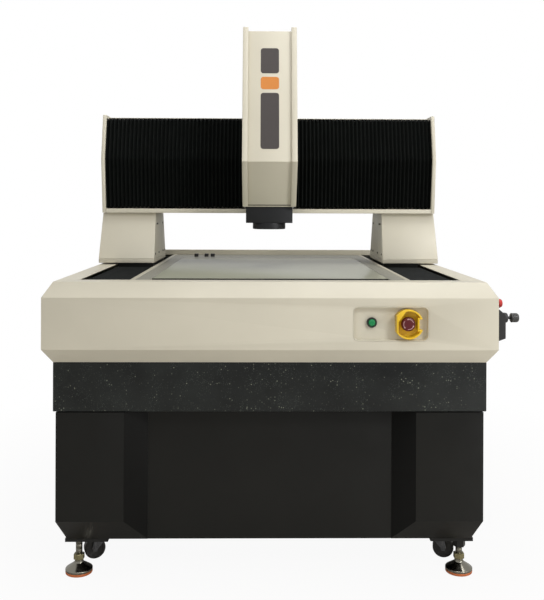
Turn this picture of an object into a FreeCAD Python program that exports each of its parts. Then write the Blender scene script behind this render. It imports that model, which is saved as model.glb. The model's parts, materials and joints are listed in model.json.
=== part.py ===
import FreeCAD, Part
import math
import os
import re
import Sketcher

# Vision measuring machine of the large gantry kind: a moving bridge over a fixed glass stage.
# Millimetres. x = 0 is the plane between the two columns, y = 0 the middle of the casing,
# z = 0 the floor, and the operator stands at -Y.

SIZES = [
    ("sheet_wall", 2.5, "casing sheet"),
    ("stand_wall", 3, "stand cladding sheet"),
    ("seam", 0.5, "gap between two covers"),
    ("slide_gap", 0.3, "clearance of a sliding or turning pair"),
    ("fit_gap", 0.05, "clearance of a close running fit"),
    ("motor_gap", 1, "air gap of a linear motor"),
    ("lap", 1, "overlap of fused forms, and overrun of a cutting form"),
    ("joystick_reach", 85, "how far the joystick stands out of the casing's right side"),
    # casing
    ("casing_width", 1240, "over the side panels"),
    ("casing_depth", 1338, "over the front and rear panels"),
    ("casing_low", 612, "lower edge, on the granite's top"),
    ("casing_face_low", 650, "lower edge of the flat face"),
    ("casing_face_high", 791, "upper edge of the flat face"),
    ("casing_top", 832, "deck"),
    ("casing_bevel", 26, "run of the upper and lower bevels"),
    ("deck_rim", 84, "from the casing's face to the deck's opening"),
    ("rear_lip", 20, "upstand behind the stage"),
    ("rear_rim", 90, "from the rear face to the deck's opening"),
    ("mitre_run", 300, "how far in the mitres between the panels reach"),
    # granite
    ("granite_low", 477, "underside"),
    ("way_low_x", "casing_width / 2 - 200", "inner side of a rail way"),
    ("way_high_x", "casing_width / 2 - 108", "outer side of a rail way"),
    ("way_top", 690, "top of the rail ways"),
    ("way_end", 600, "half length of the rail ways"),
    # stand
    ("stand_half_width", "casing_width / 2 - 32", ""),
    ("stand_half_depth", 635, ""),
    ("stand_low", 104, "lower edge of the cladding"),
    ("stand_bend", 173, "where the lower bevel starts"),
    ("stand_top", 473, ""),
    ("stand_front_run", 54, "run of the front and rear bevels, and depth of the recess"),
    ("stand_side_run", 20, "run of the side bevels"),
    ("recess_mouth", "casing_width / 2 - 218", "half width of the recess at the face"),
    ("recess_floor", "casing_width / 2 - 278", "half width of the recess at its floor"),
    ("post_low", "casing_width / 2 - 180", "inner faces of the posts"),
    ("post_side", 80, "square tube of the posts and rails"),
    ("tube_wall", 5, "wall of the square tubes"),
    ("post_drop", 8, "top of the tubes under the cladding's top, where the granite's pads start"),
    ("plate_thick", 10, "corner base plate"),
    ("plate_low", "casing_width / 2 - 165", "inner edges of the corner base plates"),
    ("plate_high_x", "casing_width / 2 - 45", "outer side edge of the corner base plates"),
    ("plate_high_y", 577, "outer end edge of the corner base plates"),
    # levelling feet
    ("foot_x", "casing_width / 2 - 80", ""),
    ("foot_y", 555, ""),
    ("pad_radius", 38, ""),
    ("pad_rim", 14, "height of the pad's rim"),
    ("cone_top", 30, ""),
    ("cone_rim", 3, "shoulder between the cone and the neck"),
    ("neck_radius", 12, ""),
    ("neck_top", 38, ""),
    ("jam_top", 54, "top of the nut on the foot's stud"),
    ("jam_flats", 28, "across flats"),
    ("stud_radius", 9.5, ""),
    ("stud_top", 150, ""),
    ("stud_chamfer", 1.5, ""),
    ("sleeve_flats", 32, "lock nut screwed up against the base plate, across flats"),
    ("sleeve_tall", 20, ""),
    ("boss_radius", 16, "threaded boss above the base plate"),
    ("boss_top", 134, ""),
    # casters
    ("caster_x", "casing_width / 2 - 130", "swivel axis"),
    ("caster_y", 486, "swivel axis"),
    ("caster_trail", 20, ""),
    ("wheel_radius", 30, ""),
    ("wheel_half", 10.5, "half width of the wheel"),
    ("tread_thick", 7, ""),
    ("web_recess", 2, "wheel's web inside its tread"),
    ("wheel_low", 15, "clearance under the wheel while the machine stands on its feet"),
    ("axle_radius", 4, ""),
    ("cheek_thick", 2.5, "fork cheek"),
    ("cheek_gap", 1, "beside the wheel"),
    ("cheek_drop", 8, "upright edge of a cheek under the swivel head"),
    ("cheek_toe", 9, "half width of a cheek at the axle"),
    ("cheek_front", 15, "from the swivel axis to a cheek's leading edge"),
    ("cheek_rear", 20, "from the swivel axis to a cheek's trailing edge"),
    ("axle_head", 2, "axle ends outside the cheeks"),
    ("swivel_radius", 22, ""),
    ("swivel_low", 84, "underside of the swivel head"),
    # stage
    ("glass_half_x", "casing_width / 2 - 280", ""),
    ("glass_front", 529, "front edge, towards the operator"),
    ("glass_rear", 382, ""),
    ("glass_thick", 10, ""),
    ("stage_top", 831, "top of the glass and its frame"),
    ("stage_low", 812, "underside of the stage frame"),
    ("stage_half_x", "casing_width / 2 - 239.5", ""),
    ("glass_seat", 14, "how far the frame reaches under the glass"),
    ("trim_width", 14, "upstand beside each slot"),
    ("stage_leg", 30, "square leg under the stage frame"),
    ("rear_leg", 120, "rear legs behind the glass"),
    ("front_drop", 12, "front bar of the frame below the glass"),
    ("backlight_low", 800, ""),
    ("backlight_lap", 18, "how far the backlight laps under the frame"),
    ("block_side", 16, "locating block"),
    ("block_tall", 12, ""),
    ("block_behind", 60, "from the glass to the locating blocks"),
    ("block_far", 50, "from the glass's left edge to the first block's centre"),
    ("block_mid", 91, "to the second block's centre"),
    ("block_near", 116, "to the third block's centre"),
    # guideway along Y
    ("yrail_x", "casing_width / 2 - 174", "rail centre line"),
    ("yrail_width", 23, ""),
    ("yrail_tall", 20, ""),
    ("rail_waist", 2.5, "depth of the ball grooves in a rail's sides"),
    ("yrail_end", 590, "half length of the rails"),
    ("ytrack_x", "casing_width / 2 - 126", "magnet track centre line"),
    ("ytrack_width", 36, ""),
    ("ytrack_tall", 10, ""),
    ("ycarriage_length", 90, ""),
    ("ycarriage_width", 52, ""),
    ("ycarriage_low", 697, ""),
    ("ycarriage_top", 726, ""),
    # bridge columns
    ("neck_low_x", "casing_width / 2 - 218", ""),
    ("neck_high_x", "casing_width / 2 - 90", ""),
    ("neck_inset", 5, "neck inside its flange"),
    ("column_front", -6, ""),
    ("column_rear", 327, ""),
    ("flange_low", 837, "underside of the column's base flange"),
    ("flange_top", 852, ""),
    ("column_high_x", "casing_width / 2 - 23", "outer side at the foot"),
    ("column_top_x", "casing_width / 2 - 32", "outer side at the top"),
    ("column_top_front", 31, ""),
    ("column_top_rear", 257, ""),
    ("column_top", "end_low - seam", ""),
    ("column_wall", 3, ""),
    ("pillar_low_x", "casing_width / 2 - 195", ""),
    ("pillar_high_x", "casing_width / 2 - 95", ""),
    ("pillar_front", 66, ""),
    ("pillar_rear", 240, ""),
    ("pillar_gap", 5, "round a pillar where it passes through the rear cover"),
    # beam
    ("beam_half_x", "casing_width / 2 - 45", ""),
    ("beam_front", 75, ""),
    ("beam_rear", 215, ""),
    ("beam_low", "end_low + 27", ""),
    ("beam_top", "end_top - 19", ""),
    ("end_thick", 12, "beam end plate"),
    ("end_low", 1013, ""),
    ("end_mid", "end_low + 190", "height of the end plate's nose"),
    ("end_top", 1359, ""),
    ("end_front_low", 8, ""),
    ("end_front_mid", -20, ""),
    ("end_front_top", 13, ""),
    ("end_rear", 257, ""),
    ("end_step", 9, "how far the end plates stand out round the bellows"),
    ("strip_tall", 15, "sheet strip under the front of the beam"),
    ("cover_wall", 2.5, "rear cover of the beam"),
    ("cover_inset", 5, "rear cover inside the end plates' outline"),
    ("cover_front", "beam_front - 13", "front edges of the rear cover and rear edge of the strip"),
    # guideway along X
    ("xrail_low_z", "end_low + 72", "centre line of the lower rail"),
    ("xrail_high_z", "end_top - 59", "centre line of the upper rail"),
    ("xrail_width", 20, ""),
    ("xrail_tall", 18, ""),
    ("xrail_end", "casing_width / 2 - 60", ""),
    ("xtrack_low", "end_mid - 53", ""),
    ("xtrack_high", "end_mid + 27", ""),
    ("xtrack_tall", 8, ""),
    ("xcarriage_length", 56, ""),
    ("xcarriage_width", 44, ""),
    ("xcarriage_front", 39, ""),
    ("xcarriage_rear", 68, ""),
    ("xcarriage_x", 50, "carriage centre from the head's middle"),
    # bellows
    ("pleat_pitch", 14, ""),
    ("pleat_deep", 12, "ridge to valley of the beam's bellows"),
    ("bellows_rear", 54, "rear edge of the beam's bellows"),
    ("bellows_wall", 2, ""),
    ("slot_pleat", 9, "ridge to valley of the slot's bellows"),
    ("slot_drop", 8, "from the deck down to the slot's bellows"),
    ("slot_gap", 1.5, "beside the slot's bellows"),
    # head
    ("head_half_x", 89, ""),
    ("head_low", 1036, ""),
    ("head_bend", 1181, ""),
    ("head_top", 1631, ""),
    ("head_front_low", -169, ""),
    ("head_front_bend", -281, ""),
    ("head_front_top", -179, ""),
    ("head_rear", -25, ""),
    ("head_wall", 3, ""),
    ("head_flange", 18, "front flange of a head side"),
    ("head_recess", 12, "depth of the front cover behind the flanges"),
    ("backplate_thick", 12, ""),
    ("backplate_low", 1060, ""),
    ("saddle_half_x", 82, ""),
    ("saddle_front", 24, ""),
    ("saddle_low", "end_low + 37", ""),
    ("saddle_top", "end_top - 24", ""),
    ("bracket_half_x", 60, "block that carries the head on the saddle"),
    ("bracket_low", "saddle_low + 40", ""),
    ("bracket_top", "saddle_top - 45", ""),
    # optics
    ("actuator_half_x", 45, ""),
    ("actuator_thick", 23, ""),
    ("actuator_low", 1180, ""),
    ("actuator_top", 1600, ""),
    ("actuator_wall", 5, "channel of the focus drive"),
    ("screw_radius", 5, "ball screw of the focus drive"),
    ("bearing_tall", 8, "lower bearing block of the ball screw"),
    ("motor_half", 20, ""),
    ("motor_tall", 50, ""),
    ("nut_low", 1300, "ball nut block on the focus slide"),
    ("nut_high", 1370, ""),
    ("zplate_half_x", 40, ""),
    ("zplate_thick", 10, ""),
    ("zplate_top", 1440, ""),
    ("lens_y", -95, "optical axis"),
    ("lens_radius", 22, ""),
    ("lens_low", 972, ""),
    ("lens_top", 1330, ""),
    ("lens_bevel", 4, ""),
    ("lens_step", 5, "how much thinner the lens is at its camera end"),
    ("lens_end", 50, "length of the thinner end"),
    ("clamp_low", 1220, "clamp that holds the lens"),
    ("clamp_top", 1250, ""),
    ("clamp_wall", 8, ""),
    ("camera_half", 29, ""),
    ("camera_top", 1430, ""),
    ("lamp_half_x", 78, ""),
    ("lamp_front", -148, ""),
    ("lamp_rear", -42, ""),
    ("lamp_low", 982, ""),
    ("lamp_top", 1066, ""),
    ("ring_low", 961, ""),
    ("ring_radius", 55.5, ""),
    ("ring_bore", 31, ""),
    ("ring_cone", 8, "run of the conical face that holds the lamps"),
    ("ring_bevel", 3, ""),
    # controls at the front
    ("tray_low_x", "casing_width / 2 - 397", ""),
    ("tray_high_x", "casing_width / 2 - 190", ""),
    ("tray_low", 674, ""),
    ("tray_high", 768, ""),
    ("tray_corner", 15, ""),
    ("tray_deep", 20, ""),
    ("power_x", "casing_width / 2 - 344", ""),
    ("power_z", 723, ""),
    ("bezel_radius", 14, ""),
    ("bezel_tall", 8, ""),
    ("power_lift", 3, "how far the lens stands out of its bezel"),
    ("power_step", 2, "how much thinner the button is in its barrel"),
    ("power_long", 20, "button behind the tray"),
    ("power_barrel", 30, "barrel behind the tray"),
    ("power_radius", 10.3, ""),
    ("barrel_radius", 10.9, ""),
    ("hole_radius", 11.1, ""),
    ("estop_x", "casing_width / 2 - 247", ""),
    ("estop_z", 721, ""),
    ("guard_radius", 40, ""),
    ("guard_left", 33, "flat left wall, from the stop's axis"),
    ("guard_right", 28.5, "dented right wall, from the stop's axis"),
    ("guard_dent", 14, "half height of the dent"),
    ("guard_deep", 33, ""),
    ("guard_wall", 4.5, ""),
    ("guard_floor", 3, ""),
    ("shoulder_low", 1, "start of the thick upper left corner, above the stop's axis"),
    ("shoulder_high", 3, "its other end, left of the stop's axis at the top"),
    ("estop_barrel", 40, "barrel behind the tray"),
    ("estop_collar", 5, ""),
    ("estop_gap", 5.5, "under the mushroom"),
    ("mushroom_radius", 19.5, ""),
    ("mushroom_thick", 14, ""),
    ("mushroom_seat", 5, "from the mushroom's face to the end of its stem"),
    ("button_stem", 6, ""),
    # controls at the right side
    ("side_y", -569, "centre line of the side controls"),
    ("pod_half", 32, ""),
    ("pod_low", 656, ""),
    ("pod_high", 752, ""),
    ("pod_out", 48, ""),
    ("pod_low_rise", 15, "rise of the lower slope"),
    ("pod_high_drop", 12, "drop of the upper slope"),
    ("pod_high_run", 20, "run of the upper slope"),
    ("room_radius", 15, "gimbal's room in the pod"),
    ("room_deep", 20, "from the gimbal's centre to the room's floor"),
    ("room_wall", 4, "pod's wall at the mouth"),
    ("gimbal_radius", 13, ""),
    ("gimbal_bore", 9, ""),
    ("gimbal_half", 3, ""),
    ("pin_radius", 1.5, ""),
    ("stick_radius", 4, ""),
    ("stick_tail", 8, "behind the gimbal's centre"),
    ("stick_end", 10, "how far the stick enters the knob"),
    ("skirt_radius", 10, "skirt under the knob"),
    ("skirt_tall", 3.5, ""),
    ("joystick_z", 725, ""),
    ("gimbal_out", 36, "gimbal centre from the casing's side"),
    ("collar_out", 52, ""),
    ("collar_radius", 12, "collar round the joystick's mouth"),
    ("mouth_radius", 10.8, "lets the stick tilt both ways at once"),
    ("knob_radius", 13.5, ""),
    ("knob_out", 61, "inner end of the knob from the casing's side"),
    ("side_button_z", 766, ""),
    ("side_button_radius", 11, ""),
    ("side_button_out", 38, ""),
    ("side_cap_radius", 13, ""),
    ("side_cap", 12, "length of the cap"),
    ("side_collar", 20, "how far its collar stands out"),
    ("side_stem", 6, "inner end of its stem from the casing's side"),
]

doc = FreeCAD.newDocument("vision_measuring_machine")
sheet = doc.addObject("Spreadsheet::Sheet", "dims")
for row, (alias, amount, note) in enumerate(SIZES, start=1):
    sheet.set(f"A{row}", alias.replace("_", " "))
    sheet.set(f"B{row}", f"={amount}")
    sheet.setAlias(f"B{row}", alias)
    sheet.set(f"C{row}", note)
doc.recompute()

nodes = []


def tied(formula):
    """A formula in size names, written for the expression engine."""
    return re.sub(r"[a-z]\w*", lambda word: "dims." + word[0], str(formula))


def number(formula):
    return float(sheet.evalExpression(tied(formula)))


def place(piece, x="0", y="0", z="0"):
    for letter, formula in zip("xyz", (x, y, z)):
        piece.setExpression(f"Placement.Base.{letter}", tied(formula))


def node(label, piece, x="0", y="0", z="0"):
    """Name a finished piece and set it so that the whole machine is centred on the frame."""
    if piece.TypeId in ("Part::Box", "Part::Cylinder"):
        piece = group(piece)
    doc.recompute()
    piece.Label = label
    place(piece, f"({x}) - joystick_reach / 2", y, z)
    nodes.append(piece)


def sided(side, low, high):
    """A span across X on the right (side 1), or its mirror image on the left (side -1)."""
    return (low, high) if side > 0 else (f"-({high})", f"-({low})")


def box(x, y, z):
    """A block between three pairs of formulas."""
    block = doc.addObject("Part::Box", "block")
    for edge, (low, high) in zip(("Length", "Width", "Height"), (x, y, z)):
        block.setExpression(edge, tied(f"({high}) - ({low})"))
    place(block, x[0], y[0], z[0])
    return block


def cylinder(axis, radius, span, centre):
    """A cylinder along X, Y or Z: span along the axis, centre on the two other axes."""
    rod = doc.addObject("Part::Cylinder", "rod")
    lay(rod, {"X": (1, 0, 0), "Y": (0, 1, 0), "Z": (0, 0, 1)}[axis])
    rod.setExpression("Radius", tied(radius))
    rod.setExpression("Height", tied(f"({span[1]}) - ({span[0]})"))
    seat = list(centre)
    seat.insert("XYZ".index(axis), span[0])
    place(rod, *seat)
    return rod


def fuse(*pieces):
    whole = doc.addObject("Part::MultiFuse", "fused")
    whole.Shapes = list(pieces)
    whole.Refine = True
    return whole


def common(*pieces):
    shared = doc.addObject("Part::MultiCommon", "common")
    shared.Shapes = list(pieces)
    return shared


def cut(piece, *tools):
    rest = doc.addObject("Part::Cut", "rest")
    rest.Base = piece
    rest.Tool = tools[0] if len(tools) == 1 else fuse(*tools)
    return rest


def group(*pieces):
    """Several separate solids that make one node."""
    family = doc.addObject("Part::Compound", "family")
    family.Links = list(pieces)
    return family


def sketch(body, plane, outline, offset="0"):
    """A closed outline of straight lines, each corner tied to its two formulas."""
    drawing = body.newObject("Sketcher::SketchObject", "outline")
    base = next(item for item in body.Origin.OriginFeatures if item.Role == plane + "_Plane")
    drawing.AttachmentSupport = [(base, "")]
    drawing.MapMode = "FlatFace"
    drawing.setExpression("AttachmentOffset.Base.z", tied(offset))
    corners = [FreeCAD.Vector(number(across), number(up), 0) for across, up in outline]
    following = [(index + 1) % len(corners) for index in range(len(corners))]
    for index, after in enumerate(following):
        drawing.addGeometry(Part.LineSegment(corners[index], corners[after]), False)
    for index, after in enumerate(following):
        drawing.addConstraint(Sketcher.Constraint("Coincident", index, 2, after, 1))
    for index, formulas in enumerate(outline):
        for kind, formula in zip(("DistanceX", "DistanceY"), formulas):
            held = drawing.addConstraint(Sketcher.Constraint(kind, -1, 1, index, 1, number(formula)))
            drawing.renameConstraint(held, f"{kind}{index}")
            drawing.setExpression(f"Constraints.{kind}{index}", tied(formula))
    return drawing


def prism(plane, outline, low, high):
    """A straight-sided block: an outline in XY, XZ or YZ, padded from low to high."""
    body = doc.addObject("PartDesign::Body", "prism")
    start = f"-({high})" if plane == "XZ" else low
    pad = body.newObject("PartDesign::Pad", "pad")
    pad.Profile = sketch(body, plane, outline, start)
    pad.setExpression("Length", tied(f"({high}) - ({low})"))
    return body


def turned(profile):
    """A turned piece about its own Z axis: a half profile of radius and height."""
    body = doc.addObject("PartDesign::Body", "turned")
    drawing = sketch(body, "XZ", profile)
    spin = body.newObject("PartDesign::Revolution", "spin")
    spin.Profile = drawing
    spin.ReferenceAxis = (drawing, ["V_Axis"])
    spin.Angle = 360
    return body


def lay(piece, axis):
    """Lay a turned piece so that its own Z axis points along the given direction."""
    turn = FreeCAD.Rotation(FreeCAD.Vector(0, 0, 1), FreeCAD.Vector(*axis))
    piece.Placement = FreeCAD.Placement(FreeCAD.Vector(), turn)
    return piece


def hexagon(flats, low, high):
    """A hexagonal nut about the Z axis, between two heights."""
    nut = doc.addObject("Part::Prism", "nut")
    nut.Polygon = 6
    nut.setExpression("Circumradius", f"{tied(flats)} / 2 / cos(30)")
    nut.setExpression("Height", tied(f"({high}) - ({low})"))
    place(nut, z=low)
    return nut


def corners_of(make):
    """The same piece at the four corners, made for each sign of X and Y."""
    return [make(side, end) for side in (-1, 1) for end in (-1, 1)]


# Stand: a welded frame of square tubes in folded cladding. Where the cladding's form is inset by the sheet,
# the recess's slanted walls keep their thickness when their corners move sideways by this share of it.

SLANT = 0.4


def stand_block(inset):
    """The cladding's outer form, or its inner form inset by the sheet."""
    half_x = f"(stand_half_width - {inset})"
    half_y = f"(stand_half_depth - {inset})"
    floor_y = f"(stand_half_depth - stand_front_run - {inset})"
    mouth = f"(recess_mouth + {SLANT} * {inset})"
    floor = f"(recess_floor + {SLANT} * {inset})"
    front = [
        (f"-{half_x}", f"-{half_y}"), (f"-{mouth}", f"-{half_y}"), (f"-{floor}", f"-{floor_y}"),
        (floor, f"-{floor_y}"), (mouth, f"-{half_y}"), (half_x, f"-{half_y}"),
    ]
    rear = [
        (half_x, half_y), (mouth, half_y), (floor, floor_y),
        (f"-{floor}", floor_y), (f"-{mouth}", half_y), (f"-{half_x}", half_y),
    ]

    def side_view(half, run):
        return [
            (f"-({half} - {run})", "stand_low"), (f"{half} - {run}", "stand_low"), (half, "stand_bend"),
            (half, "stand_top"), (f"-{half}", "stand_top"), (f"-{half}", "stand_bend"),
        ]

    return common(
        prism("XY", front + rear, "stand_low", "stand_top"),
        prism("YZ", side_view(half_y, "stand_front_run"), "-stand_half_width", "stand_half_width"),
        prism("XZ", side_view(half_x, "stand_side_run"), "-stand_half_depth", "stand_half_depth"),
    )


def stand_cladding():
    shell = cut(stand_block("0"), stand_block("stand_wall"))
    whole_y = ("-stand_half_depth", "stand_half_depth")
    whole_z = ("stand_low", "stand_top")
    sides = [
        common(shell, box(sided(side, "recess_floor + seam", "stand_half_width"), whole_y, whole_z))
        for side in (-1, 1)
    ]
    node("stand_shells", group(*sides))
    node("stand_panels", common(shell, box(("-recess_floor", "recess_floor"), whole_y, whole_z)))


def tube(x, y, z, run):
    """A square tube of the frame, open along the letter of its run."""
    spans = dict(zip("xyz", (x, y, z)))
    inner = [
        span if letter == run else (f"{span[0]} + tube_wall", f"{span[1]} - tube_wall")
        for letter, span in spans.items()
    ]
    return cut(box(x, y, z), box(*inner))


def stand_frame():
    post = ("post_low", "post_low + post_side")
    rail = ("-post_low", "post_low")
    low = ("stand_low", "stand_low + post_side")
    tube_top = "(stand_top - post_drop)"
    high = (f"{tube_top} - post_side", tube_top)
    pieces = []
    for side in (-1, 1):
        for end in (-1, 1):
            here = (sided(side, *post), sided(end, *post))
            pieces.append(tube(*here, ("stand_low", tube_top), "z"))
            pieces.append(box(*here, (tube_top, "granite_low")))
        for level in (low, high):
            pieces.append(tube(sided(side, *post), rail, level, "y"))
            pieces.append(tube(rail, sided(side, *post), level, "x"))

    def corner_plate(side, end):
        plate = box(
            sided(side, "plate_low", "plate_high_x"), sided(end, "plate_low", "plate_high_y"),
            ("stand_low - plate_thick", "stand_low"),
        )
        centre = (f"{side} * foot_x", f"{end} * foot_y")
        boss = cylinder("Z", "boss_radius", ("stand_low - lap", "boss_top"), centre)
        bore_span = ("stand_low - plate_thick - lap", "boss_top + lap")
        bore = cylinder("Z", "stud_radius + slide_gap", bore_span, centre)
        return cut(fuse(plate, boss), bore)

    sleeve_low = "stand_low - plate_thick - sleeve_tall"
    sleeve = cut(
        hexagon("sleeve_flats", sleeve_low, "stand_low - plate_thick"),
        cylinder("Z", "stud_radius + slide_gap", (f"{sleeve_low} - lap", "stand_low"), ("0", "0")),
    )
    place(sleeve, "foot_x", "-foot_y")
    node("stand_frame", group(*pieces, *corners_of(corner_plate), sleeve))


def levelling_foot(name, side, end):
    rod = "stud_radius"
    profile = [
        ("0", "0"), ("pad_radius", "0"), ("pad_radius", "pad_rim"), ("neck_radius + cone_rim", "cone_top"),
        ("neck_radius", "cone_top"), ("neck_radius", "neck_top"), (rod, "neck_top"),
        (rod, "stud_top - stud_chamfer"), (f"{rod} - stud_chamfer", "stud_top"), ("0", "stud_top"),
    ]
    jam_nut = hexagon("jam_flats", "neck_top", "jam_top")
    node(name, fuse(turned(profile), jam_nut), f"{side} * foot_x", f"{end} * foot_y")


def caster(name, side, end, heading):
    """A swivel caster whose wheel trails towards the given heading, in degrees from +X."""
    axle_z = "(wheel_low + wheel_radius)"
    cheek_in = "(wheel_half + cheek_gap)"
    cheek_out = f"({cheek_in} + cheek_thick)"
    outline = [
        ("-cheek_front", "swivel_low + lap"), ("-cheek_front", "swivel_low - cheek_drop"),
        ("caster_trail - cheek_toe", axle_z), ("caster_trail - cheek_toe / 2", f"{axle_z} - cheek_toe"),
        ("caster_trail + cheek_toe / 2", f"{axle_z} - cheek_toe"), ("caster_trail + cheek_toe", axle_z),
        ("cheek_rear", "swivel_low - cheek_drop"), ("cheek_rear", "swivel_low + lap"),
    ]
    cheeks = [
        prism("XZ", outline, *sided(way, cheek_in, cheek_out)) for way in (-1, 1)
    ]
    crown = cylinder("Z", "swivel_radius", ("swivel_low", "stand_low - plate_thick - slide_gap"), ("0", "0"))
    reach = f"({cheek_out} + axle_head)"
    axle = cylinder("Y", "axle_radius", (f"-{reach}", reach), ("caster_trail", axle_z))
    fork = fuse(crown, *cheeks, axle)
    spot = (f"{side} * caster_x", f"{end} * caster_y")
    turn = FreeCAD.Rotation(FreeCAD.Vector(0, 0, 1), heading)
    fork.Placement = FreeCAD.Placement(FreeCAD.Vector(), turn)
    node(f"caster_fork_{name}", fork, *spot)

    bore = "axle_radius + fit_gap"
    rim = "wheel_radius - tread_thick"
    profile = [
        (bore, "web_recess - wheel_half"), (rim, "web_recess - wheel_half"), (rim, "-wheel_half"),
        ("wheel_radius", "-wheel_half"), ("wheel_radius", "wheel_half"),
        (rim, "wheel_half"), (rim, "wheel_half - web_recess"), (bore, "wheel_half - web_recess"),
    ]
    across, along = math.cos(math.radians(heading)), math.sin(math.radians(heading))
    wheel = lay(turned(profile), (-along, across, 0))
    node(
        f"caster_wheel_{name}", wheel, f"{spot[0]} + caster_trail * {across:.6f}",
        f"{spot[1]} + caster_trail * {along:.6f}", axle_z,
    )


# Granite base and the folded casing around its top


def granite_base():
    slab = box(
        ("casing_bevel - casing_width / 2", "casing_width / 2 - casing_bevel"),
        ("casing_bevel - casing_depth / 2", "casing_depth / 2 - casing_bevel"),
        ("granite_low", "casing_low"),
    )
    ways = [
        box(sided(side, "way_low_x", "way_high_x"), ("-way_end", "way_end"), ("casing_low - lap", "way_top"))
        for side in (-1, 1)
    ]
    node("granite_base", fuse(slab, *ways))


def casing_block(inset):
    """The casing's outer form, or its inner form inset by the sheet."""

    def side_view(half):
        low = "casing_low"
        return [
            (f"-({half} - casing_bevel - {inset})", low), (f"{half} - casing_bevel - {inset}", low),
            (f"{half} - {inset}", "casing_face_low"), (f"{half} - {inset}", "casing_face_high"),
            (f"{half} - casing_bevel - {inset}", f"casing_top - {inset}"),
            (f"-({half} - casing_bevel - {inset})", f"casing_top - {inset}"),
            (f"-({half} - {inset})", "casing_face_high"), (f"-({half} - {inset})", "casing_face_low"),
        ]

    return common(
        prism("YZ", side_view("casing_depth / 2"), "-casing_width / 2", "casing_width / 2"),
        prism("XZ", side_view("casing_width / 2"), "-casing_depth / 2", "casing_depth / 2"),
    )


def tray_block(grow, low, high):
    """The control tray's rounded outline, grown by an amount, between two depths."""
    body = prism("XZ", [
        (f"tray_low_x - {grow}", f"tray_low - {grow}"), (f"tray_high_x + {grow}", f"tray_low - {grow}"),
        (f"tray_high_x + {grow}", f"tray_high + {grow}"), (f"tray_low_x - {grow}", f"tray_high + {grow}"),
    ], low, high)
    doc.recompute()
    pad = body.Tip
    edges = [
        f"Edge{count}" for count, edge in enumerate(pad.Shape.Edges, start=1)
        if abs(edge.tangentAt(edge.FirstParameter).y) > 0.99
    ]
    rounding = body.newObject("PartDesign::Fillet", "rounding")
    rounding.Base = (pad, edges)
    rounding.setExpression("Radius", tied(f"tray_corner + {grow}"))
    return body


def casing():
    opening_x = "(casing_width / 2 - deck_rim)"
    opening = box(
        (f"-{opening_x}", opening_x), ("-casing_depth / 2 + deck_rim", "casing_depth / 2 - rear_rim"),
        ("casing_top - sheet_wall - lap", "casing_top + lap"),
    )
    shell = cut(casing_block("0"), casing_block("sheet_wall"), opening)

    def panel(along, across, lengthwise, facing):
        """The part of the shell between two mitres: along is the panel's own length, and facing its side."""
        far = f"({facing} * ({across} / 2))"
        near = f"({facing} * ({across} / 2 - mitre_run))"
        outer = f"({facing} * ({along} / 2 - seam / 2))"
        inner = f"({facing} * ({along} / 2 - seam / 2 - mitre_run))"
        corners = [(f"-{outer}", far), (outer, far), (inner, near), (f"-{inner}", near)]
        if lengthwise:
            corners = [(up, side) for side, up in corners]
        return common(shell, prism("XY", corners, "casing_low", "casing_top"))

    front = cut(
        panel("casing_width", "casing_depth", False, -1),
        tray_block("slide_gap", "-casing_depth / 2 - lap", "-casing_depth / 2 + sheet_wall + lap"),
    )
    node("casing_front", front)
    lip_x = f"({opening_x} - (rear_rim - deck_rim) - sheet_wall)"
    lip = box(
        (f"-{lip_x}", lip_x),
        ("casing_depth / 2 - rear_rim", "casing_depth / 2 - rear_rim + sheet_wall"),
        ("casing_top - sheet_wall", "casing_top + rear_lip"),
    )
    node("casing_rear", fuse(panel("casing_width", "casing_depth", False, 1), lip))
    node("casing_left", panel("casing_depth", "casing_width", True, -1))
    node("casing_right", panel("casing_depth", "casing_width", True, 1))


# Stage: a glass plate in a frame, whose front bar lies low before the glass


def stage():
    whole_y = ("-casing_depth / 2 + deck_rim + lap", "casing_depth / 2 - rear_rim - lap")
    plate = box(("-stage_half_x", "stage_half_x"), whole_y, ("stage_low", "stage_top"))
    seat = box(
        ("-glass_half_x - slide_gap", "glass_half_x + slide_gap"),
        ("-glass_front - slide_gap", "glass_rear + slide_gap"),
        ("stage_top - glass_thick", "stage_top + lap"),
    )
    window = box(
        ("-glass_half_x + glass_seat", "glass_half_x - glass_seat"),
        ("-glass_front + glass_seat", "glass_rear - glass_seat"), ("stage_low - lap", "stage_top"),
    )
    front_bar = box(
        ("-glass_half_x", "glass_half_x"), ("-casing_depth / 2 + deck_rim", "-glass_front - slide_gap / 2"),
        ("stage_top - front_drop", "stage_top + lap"),
    )
    legs = [
        box(
            sided(side, "stage_half_x - stage_leg - lap", "stage_half_x - lap"),
            (f"{spot} - stage_leg / 2", f"{spot} + stage_leg / 2"), ("casing_low", "stage_low + lap"),
        )
        for side in (-1, 1) for spot in ("-glass_front", "0", "glass_rear + rear_leg")
    ]
    node("stage_frame", fuse(cut(plate, seat, window, front_bar), *legs))
    node("stage_glass", box(
        ("-glass_half_x", "glass_half_x"), ("-glass_front", "glass_rear"),
        ("stage_top - glass_thick", "stage_top"),
    ))
    node("backlight", box(
        ("-glass_half_x + glass_seat - backlight_lap", "glass_half_x - glass_seat + backlight_lap"),
        ("-glass_front + glass_seat - backlight_lap", "glass_rear - glass_seat + backlight_lap"),
        ("backlight_low", "stage_low"),
    ))
    trims = [
        box(
            sided(side, "stage_half_x + seam", "stage_half_x + seam + trim_width"), whole_y,
            ("backlight_low", "casing_top"),
        )
        for side in (-1, 1)
    ]
    node("stage_trim", group(*trims))
    blocks = [
        box(
            (f"{spot} - glass_half_x - block_side / 2", f"{spot} - glass_half_x + block_side / 2"),
            ("glass_rear + block_behind", "glass_rear + block_behind + block_side"),
            ("stage_top", "stage_top + block_tall"),
        )
        for spot in ("block_far", "block_mid", "block_near")
    ]
    node("locating_blocks", group(*blocks))


# Guideway along Y, with a linear motor's magnet track beside each rail


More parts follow.
